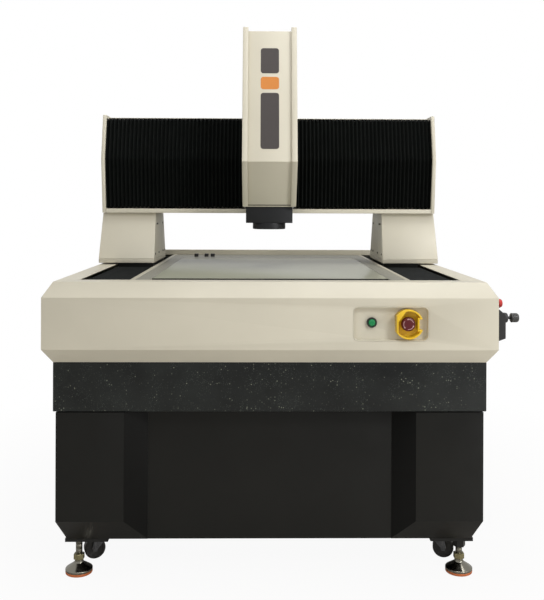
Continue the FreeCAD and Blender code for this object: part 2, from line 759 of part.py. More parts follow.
def rail_section(width, tall):
    """A rail's section: across and up from its seat, with a ball groove in each side."""
    half = f"{width} / 2"
    waist = f"({half} - rail_waist)"
    groove = [(half, f"0.45 * {tall}"), (waist, f"0.6 * {tall}"), (half, f"0.75 * {tall}")]
    right = [(half, "0"), *groove, (half, tall)]
    return right + [(f"-{across}", up) for across, up in reversed(right)]


def guideway_y():
    rails = []
    for side in (-1, 1):
        section = [
            (f"{side} * yrail_x + ({across})", f"way_top + {up}")
            for across, up in rail_section("yrail_width", "yrail_tall")
        ]
        rails.append(prism("XZ", section, "-yrail_end", "yrail_end"))
    tracks = [
        box(
            (f"{side} * ytrack_x - ytrack_width / 2", f"{side} * ytrack_x + ytrack_width / 2"),
            ("-yrail_end", "yrail_end"), ("way_top", "way_top + ytrack_tall"),
        )
        for side in (-1, 1)
    ]
    node("y_rails", group(*rails, *tracks))

    def carriage(side, front):
        low = "column_front" if front < 0 else "(column_rear - ycarriage_length)"
        body = box(
            (f"{side} * yrail_x - ycarriage_width / 2", f"{side} * yrail_x + ycarriage_width / 2"),
            (low, f"{low} + ycarriage_length"), ("ycarriage_low", "ycarriage_top"),
        )
        groove = box(
            (
                f"{side} * yrail_x - yrail_width / 2 - slide_gap",
                f"{side} * yrail_x + yrail_width / 2 + slide_gap",
            ),
            (f"{low} - lap", f"{low} + ycarriage_length + lap"),
            ("ycarriage_low - lap", "way_top + yrail_tall + slide_gap"),
        )
        return cut(body, groove)

    node("y_carriages", group(*corners_of(carriage)))


# Bridge


def bridge_columns():
    """Cast columns: a neck through each slot, a base flange and a pillar up to the beam."""
    whole_y = ("column_front", "column_rear")
    columns = []
    for side in (-1, 1):
        neck = box(
            sided(side, "neck_low_x + neck_inset", "neck_high_x"),
            ("column_front + neck_inset", "column_rear - neck_inset"), ("ycarriage_top", "flange_low + lap"),
        )
        flange = box(sided(side, "neck_low_x", "column_high_x"), whole_y, ("flange_low", "flange_top"))
        pillar = box(
            sided(side, "pillar_low_x", "pillar_high_x"), ("pillar_front", "pillar_rear"),
            ("flange_top - lap", "beam_low"),
        )
        columns.append(fuse(neck, flange, pillar))
    node("bridge_columns", group(*columns))


def tapered(side, inset, low, high):
    """The column cover's form between two levels: upright inside, leaning in on the others."""
    wedge = doc.addObject("Part::Wedge", "taper")
    turn = FreeCAD.Rotation(FreeCAD.Vector(1, 0, 0), 90)
    wedge.Placement = FreeCAD.Placement(FreeCAD.Vector(), turn)
    inner, outer = sided(side, f"neck_low_x + {inset}", f"column_high_x - {inset}")
    inner_top, outer_top = sided(side, f"neck_low_x + {inset}", f"column_top_x - {inset}")
    limits = {
        "Xmin": inner, "Xmax": outer, "X2min": inner_top, "X2max": outer_top,
        "Ymin": low, "Ymax": high,
        "Zmin": f"-(column_rear - {inset})", "Zmax": f"-(column_front + {inset})",
        "Z2min": f"-(column_top_rear - {inset})", "Z2max": f"-(column_top_front + {inset})",
    }
    for name, formula in limits.items():
        wedge.setExpression(name, tied(formula))
    return wedge


def column_covers():
    for side, name in ((-1, "left"), (1, "right")):
        outer = tapered(side, "0", "flange_top", "column_top")
        inner = tapered(side, "column_wall", "flange_top", "column_top")
        node(f"column_cover_{name}", cut(outer, inner))


def beam():
    node("beam", box(
        ("-beam_half_x", "beam_half_x"), ("beam_front", "beam_rear"), ("beam_low", "beam_top"),
    ))
    profile = [
        ("end_front_low", "end_low"), ("end_rear", "end_low"), ("end_rear", "end_top"),
        ("end_front_top", "end_top"), ("end_front_mid", "end_mid"),
    ]
    plates = [
        prism("YZ", profile, *sided(side, "beam_half_x", "beam_half_x + end_thick")) for side in (-1, 1)
    ]
    node("beam_end_plates", group(*plates))
    node("beam_bottom_strip", box(
        ("-beam_half_x", "beam_half_x"), ("end_front_low", "cover_front"),
        ("end_low", "end_low + strip_tall"),
    ))
    back = "(end_rear - cover_inset)"
    top = "(end_top - cover_inset)"
    low = "(end_low + cover_inset)"
    inner_back = f"({back} - cover_wall)"
    folded = [
        ("cover_front", top), ("cover_front", f"{top} - cover_wall"), (inner_back, f"{top} - cover_wall"),
        (inner_back, f"{low} + cover_wall"), ("cover_front", f"{low} + cover_wall"), ("cover_front", low),
        (back, low), (back, top),
    ]
    sheet_body = prism("YZ", folded, "-beam_half_x", "beam_half_x")
    notches = [
        box(
            sided(side, "pillar_low_x - pillar_gap", "pillar_high_x + pillar_gap"),
            ("cover_front - lap", "pillar_rear + pillar_gap"), (f"{low} - lap", f"{low} + cover_wall + lap"),
        )
        for side in (-1, 1)
    ]
    node("beam_rear_cover", cut(sheet_body, *notches))


def guideway_x():
    span = ("-xrail_end", "xrail_end")
    rails = []
    for z in ("xrail_low_z", "xrail_high_z"):
        section = [
            (f"beam_front - {up}", f"{z} + ({across})")
            for across, up in rail_section("xrail_width", "xrail_tall")
        ]
        rails.append(prism("YZ", section, *span))
    track = box(span, ("beam_front - xtrack_tall", "beam_front"), ("xtrack_low", "xtrack_high"))
    node("x_rails", group(*rails, track))

    carriages = []
    for z in ("xrail_low_z", "xrail_high_z"):
        for side in (-1, 1):
            middle = f"{side} * xcarriage_x"
            block = box(
                (f"{middle} - xcarriage_length / 2", f"{middle} + xcarriage_length / 2"),
                ("xcarriage_front", "xcarriage_rear"),
                (f"{z} - xcarriage_width / 2", f"{z} + xcarriage_width / 2"),
            )
            groove = box(
                (f"{middle} - xcarriage_length", f"{middle} + xcarriage_length"),
                ("beam_front - xrail_tall - slide_gap", "xcarriage_rear + lap"),
                (f"{z} - xrail_width / 2 - slide_gap", f"{z} + xrail_width / 2 + slide_gap"),
            )
            carriages.append(cut(block, groove))
    node("x_carriages", group(*carriages))


def saddle():
    plate = box(
        ("-saddle_half_x", "saddle_half_x"), ("saddle_front", "xcarriage_front"),
        ("saddle_low", "saddle_top"),
    )
    bracket = box(
        ("-bracket_half_x", "bracket_half_x"), ("head_rear", "saddle_front + lap"),
        ("bracket_low", "bracket_top"),
    )
    coil = box(
        ("-bracket_half_x", "bracket_half_x"),
        ("xcarriage_front - lap", "beam_front - xtrack_tall - motor_gap"), ("xtrack_low", "xtrack_high"),
    )
    step = "(end_step + lap)"
    low = "end_low + strip_tall + 2 * lap"
    outline = [
        (f"end_front_low + {step}", low), ("bellows_rear", low),
        ("bellows_rear", f"end_top - {step}"), (f"end_front_top + {step}", f"end_top - {step}"),
        (f"end_front_mid + {step}", "end_mid"),
    ]
    ends = [prism("YZ", outline, *sided(side, "saddle_half_x", "head_half_x - lap")) for side in (-1, 1)]
    node("x_saddle", fuse(plate, bracket, coil, *ends))


# Bellows: pleated skins, lofted through ridges and valleys


def pleated(span, ridge, valley, flip=False):
    """A pleated strip along one axis; ridge and valley are closed outlines across it."""
    start, stop = span
    count = 2 * max(1, round((stop - start) / number("pleat_pitch")))
    rings = []
    for index in range(count + 1):
        along = start + (stop - start) * index / count
        outline = valley if index % 2 else ridge
        points = [
            FreeCAD.Vector(across, along, up) if flip else FreeCAD.Vector(along, across, up)
            for across, up in outline
        ]
        rings.append(Part.makePolygon(points + points[:1]))
    return Part.makeLoft(rings, True, True)


def beam_bellows_outline(inset):
    """The skin's section: its outer side inset from the end plates' step, its edges parallel at any inset."""
    low = number("end_low + strip_tall + lap")
    mid = number("end_mid")
    top = number("end_top - end_step")
    rear = number("bellows_rear")
    front_low, front_mid, front_top = (
        number(f"end_front_{level} + end_step") for level in ("low", "mid", "top")
    )
    low_slope = (front_mid - front_low) / (mid - low)
    top_slope = (front_top - front_mid) / (top - mid)

    def side(depth):
        return [
            (rear, low + depth), (front_low + depth * (1 + low_slope), low + depth), (front_mid + depth, mid),
            (front_top + depth * (1 - top_slope), top - depth), (rear, top - depth),
        ]

    return side(inset) + side(inset + number("bellows_wall"))[::-1]


def bellows(label, solids):
    piece = doc.addObject("Part::Feature", label)
    piece.Shape = Part.makeCompound(solids)
    node(label, piece)


def beam_bellows():
    ridge = beam_bellows_outline(0)
    valley = beam_bellows_outline(number("pleat_deep"))
    inner = number("head_half_x")
    outer = number("beam_half_x")
    bellows("x_bellows", [pleated((-outer, -inner), ridge, valley), pleated((inner, outer), ridge, valley)])


def slot_bellows():
    top = number("casing_top - slot_drop")
    drop = number("slot_pleat")
    wall = number("bellows_wall")
    low = number("stage_half_x + seam + trim_width + slot_gap")
    high = number("casing_width / 2 - deck_rim - slot_gap")
    front = (number("-casing_depth / 2 + deck_rim"), number("column_front + neck_inset"))
    rear = (number("column_rear - neck_inset"), number("casing_depth / 2 - rear_rim"))
    solids = []
    for side in (-1, 1):
        inner, outer = side * low, side * high
        ridge = [(inner, top), (outer, top), (outer, top - wall), (inner, top - wall)]
        valley = [(across, up - drop) for across, up in ridge]
        for span in (front, rear):
            solids.append(pleated(span, ridge, valley, flip=True))
    bellows("y_bellows", solids)


# Measuring head


def head_profile(inset):
    """The head's side view, its front edges set back by an amount."""
    return [
        (f"head_front_low + {inset}", "head_low"), ("head_rear", "head_low"), ("head_rear", "head_top"),
        (f"head_front_top + {inset}", "head_top"), (f"head_front_bend + {inset}", "head_bend"),
    ]


def head():
    for side, name in ((-1, "left"), (1, "right")):
        flange_x = "(head_half_x - head_flange)"
        outer = prism("YZ", head_profile("0"), *sided(side, flange_x, "head_half_x"))
        inside = "head_half_x - head_wall"
        behind_flange = prism(
            "YZ", head_profile("head_wall"), *sided(side, f"{flange_x} + head_wall", inside),
        )
        behind_return = prism("YZ", head_profile("head_recess"), *sided(side, f"{flange_x} - lap", inside))
        node(f"head_side_{name}", cut(outer, behind_flange, behind_return))

    inner_x = "(head_half_x - head_wall - slide_gap)"
    recess = "head_recess"
    deep = "(head_recess + head_wall)"
    top = "(head_top - head_recess)"
    slope = "(head_front_top - head_front_bend) / (head_top - head_bend)"
    lean = f"{slope} * head_recess"
    cover = [
        (f"head_front_low + {recess}", "head_low"), (f"head_front_bend + {recess}", "head_bend"),
        (f"head_front_top + {recess} - {lean}", top), ("head_rear - backplate_thick", top),
        ("head_rear - backplate_thick", f"{top} - head_wall"),
        (f"head_front_top + {deep} - {lean}", f"{top} - head_wall"),
        (f"head_front_bend + {deep}", "head_bend"), (f"head_front_low + {deep}", "head_low"),
    ]
    node("head_front_cover", prism("YZ", cover, f"-{inner_x}", inner_x))
    node("head_backplate", box(
        (f"-{inner_x}", inner_x), ("head_rear - backplate_thick", "head_rear"),
        ("backplate_low", top),
    ))


def optics():
    actuator_rear = "(head_rear - backplate_thick)"
    actuator_front = f"({actuator_rear} - actuator_thick)"
    channel_floor = f"({actuator_rear} - actuator_wall)"
    screw_y = f"(({actuator_front} + {channel_floor}) / 2)"
    channel_x = "(actuator_half_x - actuator_wall)"
    inside = (f"-{channel_x}", channel_x)
    channel_block = box(
        ("-actuator_half_x", "actuator_half_x"), (actuator_front, actuator_rear),
        ("actuator_low", "actuator_top"),
    )
    channel_room = box(
        inside, (f"{actuator_front} - lap", channel_floor), ("actuator_low - lap", "actuator_top + lap"),
    )
    bearing = box(
        inside, (actuator_front, channel_floor), ("actuator_low", "actuator_low + bearing_tall"),
    )
    motor = box(
        ("-motor_half", "motor_half"), (actuator_front, channel_floor),
        ("actuator_top - motor_tall", "actuator_top"),
    )
    screw = cylinder(
        "Z", "screw_radius", ("actuator_low + lap", "actuator_top - motor_tall + lap"), ("0", screw_y)
    )
    node("z_actuator", fuse(cut(channel_block, channel_room), bearing, motor, screw))

    plate_rear = f"({actuator_front} - seam)"
    plate_front = f"({plate_rear} - zplate_thick)"
    plate = box(("-zplate_half_x", "zplate_half_x"), (plate_front, plate_rear), ("lamp_top", "zplate_top"))
    clamp_x = "(lens_radius + clamp_wall)"
    clamp = box((f"-{clamp_x}", clamp_x), ("lens_y", f"{plate_front} + lap"), ("clamp_low", "clamp_top"))
    ball_nut = box(
        (f"-({channel_x} - seam)", f"{channel_x} - seam"), (f"{plate_rear} - lap", f"{channel_floor} - seam"),
        ("nut_low", "nut_high"),
    )
    grip = cylinder("Z", "lens_radius + fit_gap", ("lamp_top + lap", "lens_top + lap"), ("0", "lens_y"))
    nut_bore = cylinder("Z", "screw_radius + slide_gap", ("nut_low - lap", "nut_high + lap"), ("0", screw_y))
    node("z_plate", cut(fuse(plate, clamp, ball_nut), grip, nut_bore))

    thin = "lens_radius - lens_step"
    barrel = [
        ("0", "lens_low"), ("lens_radius - lens_bevel", "lens_low"), ("lens_radius", "lens_low + lens_bevel"),
        ("lens_radius", "lens_top - lens_end - 2 * lens_step"), (thin, "lens_top - lens_end"),
        (thin, "lens_top"), ("0", "lens_top"),
    ]
    node("zoom_lens", turned(barrel), y="lens_y")
    node("camera", box(
        ("-camera_half", "camera_half"), ("lens_y - camera_half", f"{plate_front} - slide_gap"),
        ("lens_top", "camera_top"),
    ))
    housing = box(("-lamp_half_x", "lamp_half_x"), ("lamp_front", "lamp_rear"), ("lamp_low", "lamp_top"))
    bore = cylinder("Z", "lens_radius + slide_gap", ("lamp_low - lap", "lamp_top + lap"), ("0", "lens_y"))
    node("lamp_housing", cut(housing, bore))
    ring = [
        ("ring_bore", "lamp_low"), ("ring_bore + ring_cone", "ring_low"),
        ("ring_radius - ring_bevel", "ring_low"), ("ring_radius", "ring_low + ring_bevel"),
        ("ring_radius", "lamp_low"),
    ]
    node("ring_light", turned(ring), y="lens_y")


# Controls in the tray at the front


def front_controls():
    face = "(-casing_depth / 2)"
    floor = f"({face} + tray_deep)"
    back = f"({floor} + sheet_wall)"
    pan = cut(tray_block("0", face, back), tray_block("-sheet_wall", f"{face} - lap", floor))
    power_axis = ("power_x", "power_z")
    stop_axis = ("estop_x", "estop_z")
    holes = [
        cylinder("Y", "hole_radius", (f"{floor} - lap", f"{back} + lap"), centre)
        for centre in (power_axis, stop_axis)
    ]
    node("control_tray", cut(pan, *holes))

    thin = "(power_radius - power_step)"
    rim = f"({floor} - bezel_tall)"
    power = cut(
        fuse(
            cylinder("Y", "bezel_radius", (rim, floor), power_axis),
            cylinder("Y", "barrel_radius", (f"{floor} - lap", f"{floor} + power_barrel"), power_axis),
        ),
        cylinder("Y", "power_radius + slide_gap", (f"{rim} - lap", f"{floor} + seam"), power_axis),
        cylinder("Y", f"{thin} + slide_gap", (f"{rim} - lap", f"{floor} + power_barrel + lap"), power_axis),
    )
    cup_floor = f"({floor} - guard_floor)"
    collar = f"({cup_floor} - estop_collar)"
    barrel_end = f"({floor} + estop_barrel)"
    estop = cut(
        fuse(
            cylinder("Y", "bezel_radius", (collar, cup_floor), stop_axis),
            cylinder("Y", "barrel_radius", (f"{cup_floor} - lap", barrel_end), stop_axis),
        ),
        cylinder("Y", "button_stem + slide_gap", (f"{collar} - lap", f"{barrel_end} + lap"), stop_axis),
    )
    node("button_bezels", group(power, estop))
    node("power_button", fuse(
        cylinder("Y", "power_radius", (f"{rim} - power_lift", f"{floor} - power_lift"), power_axis),
        cylinder("Y", thin, (f"{floor} - power_lift - lap", f"{floor} + power_long"), power_axis),
    ))

    mouth = f"({floor} - guard_deep)"

    def guard_form(inset, low, high):
        """The guard's form, inset by its wall: a disc with a flat left side and a dent in the right one."""
        disc = cylinder("Y", f"guard_radius - {inset}", (low, high), stop_axis)
        flat = box(
            (f"estop_x - guard_left + {inset}", "estop_x + guard_radius"), (low, high),
            ("estop_z - guard_radius", "estop_z + guard_radius"),
        )
        dent = box(
            (f"estop_x + guard_right - {inset}", "estop_x + guard_radius + lap"),
            (f"{low} - lap", f"{high} + lap"),
            (f"estop_z - guard_dent - {inset}", f"estop_z + guard_dent + {inset}"),
        )
        return cut(common(disc, flat), dent)

    shoulder = prism("XZ", [
        ("estop_x - guard_left", "estop_z + shoulder_low"),
        ("estop_x - shoulder_high", "estop_z + guard_radius"),
        ("estop_x - guard_left", "estop_z + guard_radius"),
    ], f"{mouth} - 2 * lap", f"{floor} + lap")
    hollow = cut(guard_form("guard_wall", f"{mouth} - lap", cup_floor), shoulder)
    hole = cylinder("Y", "hole_radius", (f"{cup_floor} - lap", f"{floor} + lap"), stop_axis)
    node("estop_guard", cut(guard_form("0", mouth, floor), hollow, hole))

    front = f"({collar} - estop_gap - mushroom_thick)"
    node("estop_stem", cylinder(
        "Y", "button_stem", (f"{front} + mushroom_seat", f"{floor} + power_barrel"), stop_axis,
    ))
    edge = "mushroom_radius"
    socket = "button_stem + fit_gap"
    dome = [
        ("0", "0"), (f"{edge} - 5", "0"), (f"{edge} - 1.5", "1.5"), (edge, "5"), (edge, "mushroom_thick - 4"),
        (f"{edge} - 4", "mushroom_thick"), (socket, "mushroom_thick"), (socket, "mushroom_seat - fit_gap"),
        ("0", "mushroom_seat - fit_gap"),
    ]
    node("estop_mushroom", lay(turned(dome), (0, 1, 0)), "estop_x", front, "estop_z")


# Joystick and button on the right side


def side_controls():
    wall = "(casing_width / 2)"
    axis = ("side_y", "joystick_z")
    profile = [
        (wall, "pod_low"), (f"{wall} + pod_out", "pod_low + pod_low_rise"),
        (f"{wall} + pod_out", "pod_high - pod_high_drop"), (f"{wall} + pod_out - pod_high_run", "pod_high"),
        (wall, "pod_high"),
    ]
    pod = fuse(
        prism("XZ", profile, "side_y - pod_half", "side_y + pod_half"),
        cylinder("X", "collar_radius", (f"{wall} + pod_out - lap", f"{wall} + collar_out"), axis),
    )
    room_end = f"({wall} + pod_out - room_wall)"
    room = cylinder("X", "room_radius", (f"{wall} + gimbal_out - room_deep", room_end), axis)
    mouth = cylinder("X", "mouth_radius", (f"{room_end} - lap", f"{wall} + collar_out + lap"), axis)
    button_axis = ("side_y", "side_button_z")
    collar_end = f"{wall} + side_collar"
    collar_bore = (f"{wall} + lap", f"{collar_end} + lap")
    collar = cut(
        cylinder("X", "side_button_radius", (wall, collar_end), button_axis),
        cylinder("X", "button_stem + slide_gap", collar_bore, button_axis),
    )
    node("side_housings", group(cut(pod, room, mouth), collar))

    centre = f"{wall} + gimbal_out"
    ring = [
        ("gimbal_bore", "-gimbal_half"), ("gimbal_radius", "-gimbal_half"),
        ("gimbal_radius", "gimbal_half"), ("gimbal_bore", "gimbal_half"),
    ]
    pins = [
        cylinder("Y", "pin_radius", sided(side, "gimbal_radius - lap", "room_radius - slide_gap"), ("0", "0"))
        for side in (-1, 1)
    ]
    node("joystick_gimbal", fuse(lay(turned(ring), (1, 0, 0)), *pins), centre, *axis)

    end = "(knob_out - gimbal_out)"
    skirt_low = f"({end} - seam - skirt_tall)"
    stem = [
        ("0", "-stick_tail"), ("stick_radius", "-stick_tail"), ("stick_radius", skirt_low),
        ("skirt_radius", f"{skirt_low} + lap"), ("skirt_radius - 3", f"{end} - seam"),
        ("stick_radius", f"{end} - seam"), ("stick_radius", f"{end} + stick_end"),
        ("0", f"{end} + stick_end"),
    ]
    pin_end = "(gimbal_bore - slide_gap)"
    cross_pin = cylinder("Z", "pin_radius", (f"-{pin_end}", pin_end), ("0", "0"))
    node("joystick_stick", fuse(lay(turned(stem), (1, 0, 0)), cross_pin), centre, *axis)

    length = "(joystick_reach - knob_out)"
    socket = "stick_radius + fit_gap"
    knob = [
        (socket, "0"), ("knob_radius - 3", "0"), ("knob_radius", "3"), ("knob_radius - 1", f"{length} - 3"),
        ("knob_radius - 4", length), ("0", length), ("0", "stick_end + fit_gap"),
        (socket, "stick_end + fit_gap"),
    ]
    node("joystick_knob", lay(turned(knob), (1, 0, 0)), f"{wall} + knob_out", *axis)

    cap = "(side_button_out - side_cap)"
    press = [
        ("0", "side_stem"), ("button_stem", "side_stem"), ("button_stem", cap), ("side_cap_radius - 1", cap),
        ("side_cap_radius", f"{cap} + 4"), ("side_cap_radius - 3", "side_button_out - 2"),
        ("side_cap_radius - 8", "side_button_out"), ("0", "side_button_out"),
    ]
    node("side_button", lay(turned(press), (1, 0, 0)), wall, *button_axis)


stand_frame()
stand_cladding()
granite_base()
casing()
stage()
guideway_y()
bridge_columns()
column_covers()
beam()
guideway_x()
saddle()
beam_bellows()
slot_bellows()
head()
optics()
front_controls()
side_controls()
for corner, side, end, heading in (
    ("front_left", -1, -1, 200), ("front_right", 1, -1, -12),
    ("rear_left", -1, 1, 160), ("rear_right", 1, 1, 15),
):
    levelling_foot(f"foot_{corner}", side, end)
    caster(corner, side, end, heading)

doc.recompute()
for item in doc.Objects:
    if "Invalid" in item.State or "Error" in item.State:
        raise RuntimeError(f"{item.Name} ({item.Label}) failed: {item.State}")
os.makedirs("parts", exist_ok=True)
for piece in nodes:
    if piece.Shape.isNull() or not piece.Shape.isValid():
        raise RuntimeError(f"{piece.Label} has no valid shape")
    piece.Shape.exportStep(f"parts/{piece.Label}.step")
print(len(nodes), "nodes,", sum(len(piece.Shape.Solids) for piece in nodes), "solids")
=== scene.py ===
# %% [markdown]
# # Dressing a vision measuring machine
# A gantry measuring machine carries a camera over a glass stage. The frame that is loaded here holds its
# solids, in metres, with X to the operator's right, Y away from the operator and Z up. This lesson gives them
# finishes, softens their edges, and makes in mesh code what a solid can't show well: bellows, screws and
# controls.

# %% Load the frame
import json
import math

import bmesh
import bpy
from mathutils import Matrix, Vector
from mathutils.bvhtree import BVHTree


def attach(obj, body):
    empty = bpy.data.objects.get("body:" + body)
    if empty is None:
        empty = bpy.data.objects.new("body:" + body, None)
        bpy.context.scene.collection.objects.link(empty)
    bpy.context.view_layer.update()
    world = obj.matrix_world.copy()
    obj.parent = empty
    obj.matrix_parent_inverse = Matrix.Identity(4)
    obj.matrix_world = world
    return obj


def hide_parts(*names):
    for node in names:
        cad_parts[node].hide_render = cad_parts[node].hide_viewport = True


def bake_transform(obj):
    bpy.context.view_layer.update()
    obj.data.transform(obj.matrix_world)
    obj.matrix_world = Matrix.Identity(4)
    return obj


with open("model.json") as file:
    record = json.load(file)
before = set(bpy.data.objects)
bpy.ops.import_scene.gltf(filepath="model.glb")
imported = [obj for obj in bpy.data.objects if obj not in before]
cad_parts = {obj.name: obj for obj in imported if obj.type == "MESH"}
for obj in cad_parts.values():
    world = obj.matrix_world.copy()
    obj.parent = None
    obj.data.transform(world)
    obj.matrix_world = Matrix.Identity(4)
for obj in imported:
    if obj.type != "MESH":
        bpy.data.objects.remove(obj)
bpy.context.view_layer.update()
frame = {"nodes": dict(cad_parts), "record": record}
nodes = frame["nodes"]
body_of = {name: body for body, names in frame["record"]["behaviour"]["bodies"].items() for name in names}
slot_of = {name: piece.data.materials[0].name for name, piece in nodes.items()}
MIDDLE = -0.0425
SIDES = ((-1, "left"), (1, "right"))
ENDS = ((-1, "front"), (1, "rear"))

# %% [markdown]
# ## Camera
# The photograph's upright edges stay parallel, so its camera stood level at about the height of the beam and
# the picture was cut from the lower part of the view. A level camera with a shifted sensor does the same. Its
# place was worked out from known corners of the machine.

# %% Set up the camera
EYE = (-0.0688, -2.873, 1.0448)
TURN = math.radians(0.743)
LEAN = math.radians(0.193)

lens = bpy.data.cameras.new("camera_lens")
lens.sensor_width = 36
lens.lens = 48.88
lens.shift_y = -0.1596
camera = bpy.data.objects.new("camera_stand", lens)
camera.location = EYE
camera.rotation_euler = (math.radians(90), -LEAN, -TURN)
bpy.context.scene.collection.objects.link(camera)
bpy.context.scene.camera = camera

# %% [markdown]
# ## Studio
# A product photograph is lit by large soft sources. A ceiling source makes the upper bevels pale and leaves
# the lower ones darker, a wide source far in front lights near and far faces alike, and a smaller key from
# the right throws the shadows. The world adds an even fill. What the camera and mirrors see of it is white,
# through Light Path, without adding light to the machine.

# %% Build the floor, the world and the lamps
FLOOR_HALF = 60
FLOOR_COLOUR = (0.66, 0.63, 0.58, 1)
FLOOR_GLOW = 0.94
FILL = 0.3
MIRROR_SHARE = 0.55


def soft_lamp(name, power, size, place, aim, mirrored=True):
    lamp = bpy.data.lights.new(name, "AREA")
    lamp.shape = "RECTANGLE"
    lamp.energy = power
    lamp.size, lamp.size_y = size
    stand = bpy.data.objects.new(name, lamp)
    stand.location = place
    stand.visible_glossy = mirrored
    stand.rotation_euler = (Vector(aim) - Vector(place)).to_track_quat("-Z", "Y").to_euler()
    bpy.context.scene.collection.objects.link(stand)


soft_lamp("ceiling_light", 74, (3.4, 2.4), (0.4, -0.7, 3.9), (0, 0, 0.8))
soft_lamp("key_light", 62, (0.9, 0.9), (2.3, -3.6, 3.0), (0, 0, 0.8))
soft_lamp("right_light", 25, (2.0, 1.5), (3.3, -3.0, 0.9), (0, 0, 0.8))
soft_lamp("front_light", 160, (5.0, 3.0), (-2.6, -9.0, 1.2), (0, 0, 1.0), mirrored=False)
soft_lamp("rear_light", 26, (3.0, 2.0), (0.8, 4.2, 2.4), (0, 0, 0.9), mirrored=False)

# %% [markdown]
# ## Sums in a material
# Node trees are easier to read as sums. One small class wraps a socket and overloads the operators, and each
# operator adds a Math node. Every other node comes from one method, used for materials and geometry alike.

# %% Write the node helpers


class Number:
    """A socket that takes part in sums."""

    def __init__(self, wiring, socket):
        self.wiring = wiring
        self.socket = socket

    def __add__(self, other):
        return self.wiring.maths("ADD", self, other)

    def __rsub__(self, other):
        return self.wiring.maths("SUBTRACT", other, self)

    def __mul__(self, other):
        return self.wiring.maths("MULTIPLY", self, other)

    def __truediv__(self, other):
        return self.wiring.maths("DIVIDE", self, other)

    def __gt__(self, other):
        return self.wiring.maths("GREATER_THAN", self, other)

    __radd__ = __add__
    __rmul__ = __mul__


class Wiring:
    """A node tree under construction."""

    def __init__(self, tree):
        self.tree = tree

    def feed(self, socket, value):
        if isinstance(value, Number):
            self.tree.links.new(value.socket, socket)
        else:
            socket.default_value = value

    def add(self, kind, settings=None, sockets=None, output=0):
        node = self.tree.nodes.new(kind)
        for name, value in (settings or {}).items():
            setattr(node, name, value)
        for name, value in (sockets or {}).items():
            self.feed(node.inputs[name], value)
        return Number(self, node.outputs[output])

    def maths(self, operation, *values):
        return self.add("ShaderNodeMath", {"operation": operation}, dict(enumerate(values)))


class Finish(Wiring):
    """A material under construction, ending in one Principled shader."""

    def __init__(self, name, colour, roughness, **constants):
        self.material = bpy.data.materials.new(name)
        self.material.use_nodes = True
        super().__init__(self.material.node_tree)
        self.shader = self.tree.nodes["Principled BSDF"]
        self.colour = (*colour, 1)
        self.set("Base Color", self.colour)
        self.set("Roughness", roughness)
        for socket, value in constants.items():
            self.set(socket.replace("_", " "), value)

    def set(self, socket, value):
        self.feed(self.shader.inputs[socket], value)

    def place(self):
        return self.add("ShaderNodeTexCoord", output="Object")

    def stretched(self, scale):
        return self.add("ShaderNodeMapping", {}, {"Vector": self.place(), "Scale": scale})

    def noise(self, scale, detail=2.0, at=None):
        return self.add("ShaderNodeTexNoise", {}, {
            "Vector": at or self.place(), "Scale": scale, "Detail": detail})

    def between(self, value, low, high, start=0.0, stop=1.0):
        return self.add("ShaderNodeMapRange", {}, {0: value, 1: low, 2: high, 3: start, 4: stop})

    def mix(self, share, first, second):
        return self.add("ShaderNodeMix", {"data_type": "RGBA"}, {0: share, 6: first, 7: second}, 2)

    def relief(self, height, distance):
        self.set("Normal", self.add("ShaderNodeBump", {}, {
            "Height": height, "Distance": distance, "Strength": 1.0}))


def shade(red, green, blue):
    """A colour given in 0 to 255 steps, as the shader wants it."""
    return tuple(((step / 255 + 0.055) / 1.055) ** 2.4 if step > 10 else step / 255 / 12.92
                 for step in (red, green, blue))


def tone(colour, factor):
    return (*(min(1.0, channel * factor) for channel in colour[:3]), 1)


# %% Finish the studio with the same helpers
floor_mesh = bpy.data.meshes.new("studio_floor")
floor_mesh.from_pydata(
    [(-FLOOR_HALF, -FLOOR_HALF, 0), (FLOOR_HALF, -FLOOR_HALF, 0), (FLOOR_HALF, FLOOR_HALF, 0),
     (-FLOOR_HALF, FLOOR_HALF, 0)], [], [(0, 1, 2, 3)])
floor = bpy.data.objects.new("studio_floor", floor_mesh)
floor.location.z = -0.0005
bpy.context.scene.collection.objects.link(floor)
floor_finish = Finish("pale_floor", FLOOR_COLOUR[:3], 0.7, Specular_IOR_Level=0.2)
floor_finish.set("Base Color", floor_finish.mix(
    floor_finish.noise(2.5), FLOOR_COLOUR, tone(FLOOR_COLOUR, 0.985)))
glow = floor_finish.add("ShaderNodeEmission", {}, {"Color": (1, 1, 1, 1)})
away = floor_finish.add("ShaderNodeVectorMath", {"operation": "LENGTH"}, {0: floor_finish.place()}, "Value")
looked_at = floor_finish.add("ShaderNodeLightPath", output="Is Camera Ray")
whiteness = floor_finish.between(away, 0.8, 1.9, FLOOR_GLOW, 1.0) * looked_at
floor_look = floor_finish.add("ShaderNodeMixShader", {}, {
    0: whiteness, 1: Number(floor_finish, floor_finish.shader.outputs[0]), 2: glow})
floor_finish.feed(floor_finish.tree.nodes["Material Output"].inputs["Surface"], floor_look)
floor_mesh.materials.append(floor_finish.material)

world = bpy.data.worlds.new("studio")
world.use_nodes = True
bpy.context.scene.world = world
sky = Wiring(world.node_tree)
seen = sky.add("ShaderNodeLightPath", output="Is Camera Ray")
mirrored = sky.add("ShaderNodeLightPath", output="Is Glossy Ray")
through = sky.add("ShaderNodeLightPath", output="Is Transmission Ray")
white_share = sky.add("ShaderNodeMath", {"operation": "ADD", "use_clamp": True}, {
    0: seen, 1: mirrored * MIRROR_SHARE + through})
sky.feed(world.node_tree.nodes["Background"].inputs["Strength"], white_share * (1 - FILL) + FILL)
world.node_tree.nodes["Background"].inputs["Color"].default_value = (1, 1, 1, 1)
bpy.context.scene.view_settings.view_transform = "Standard"

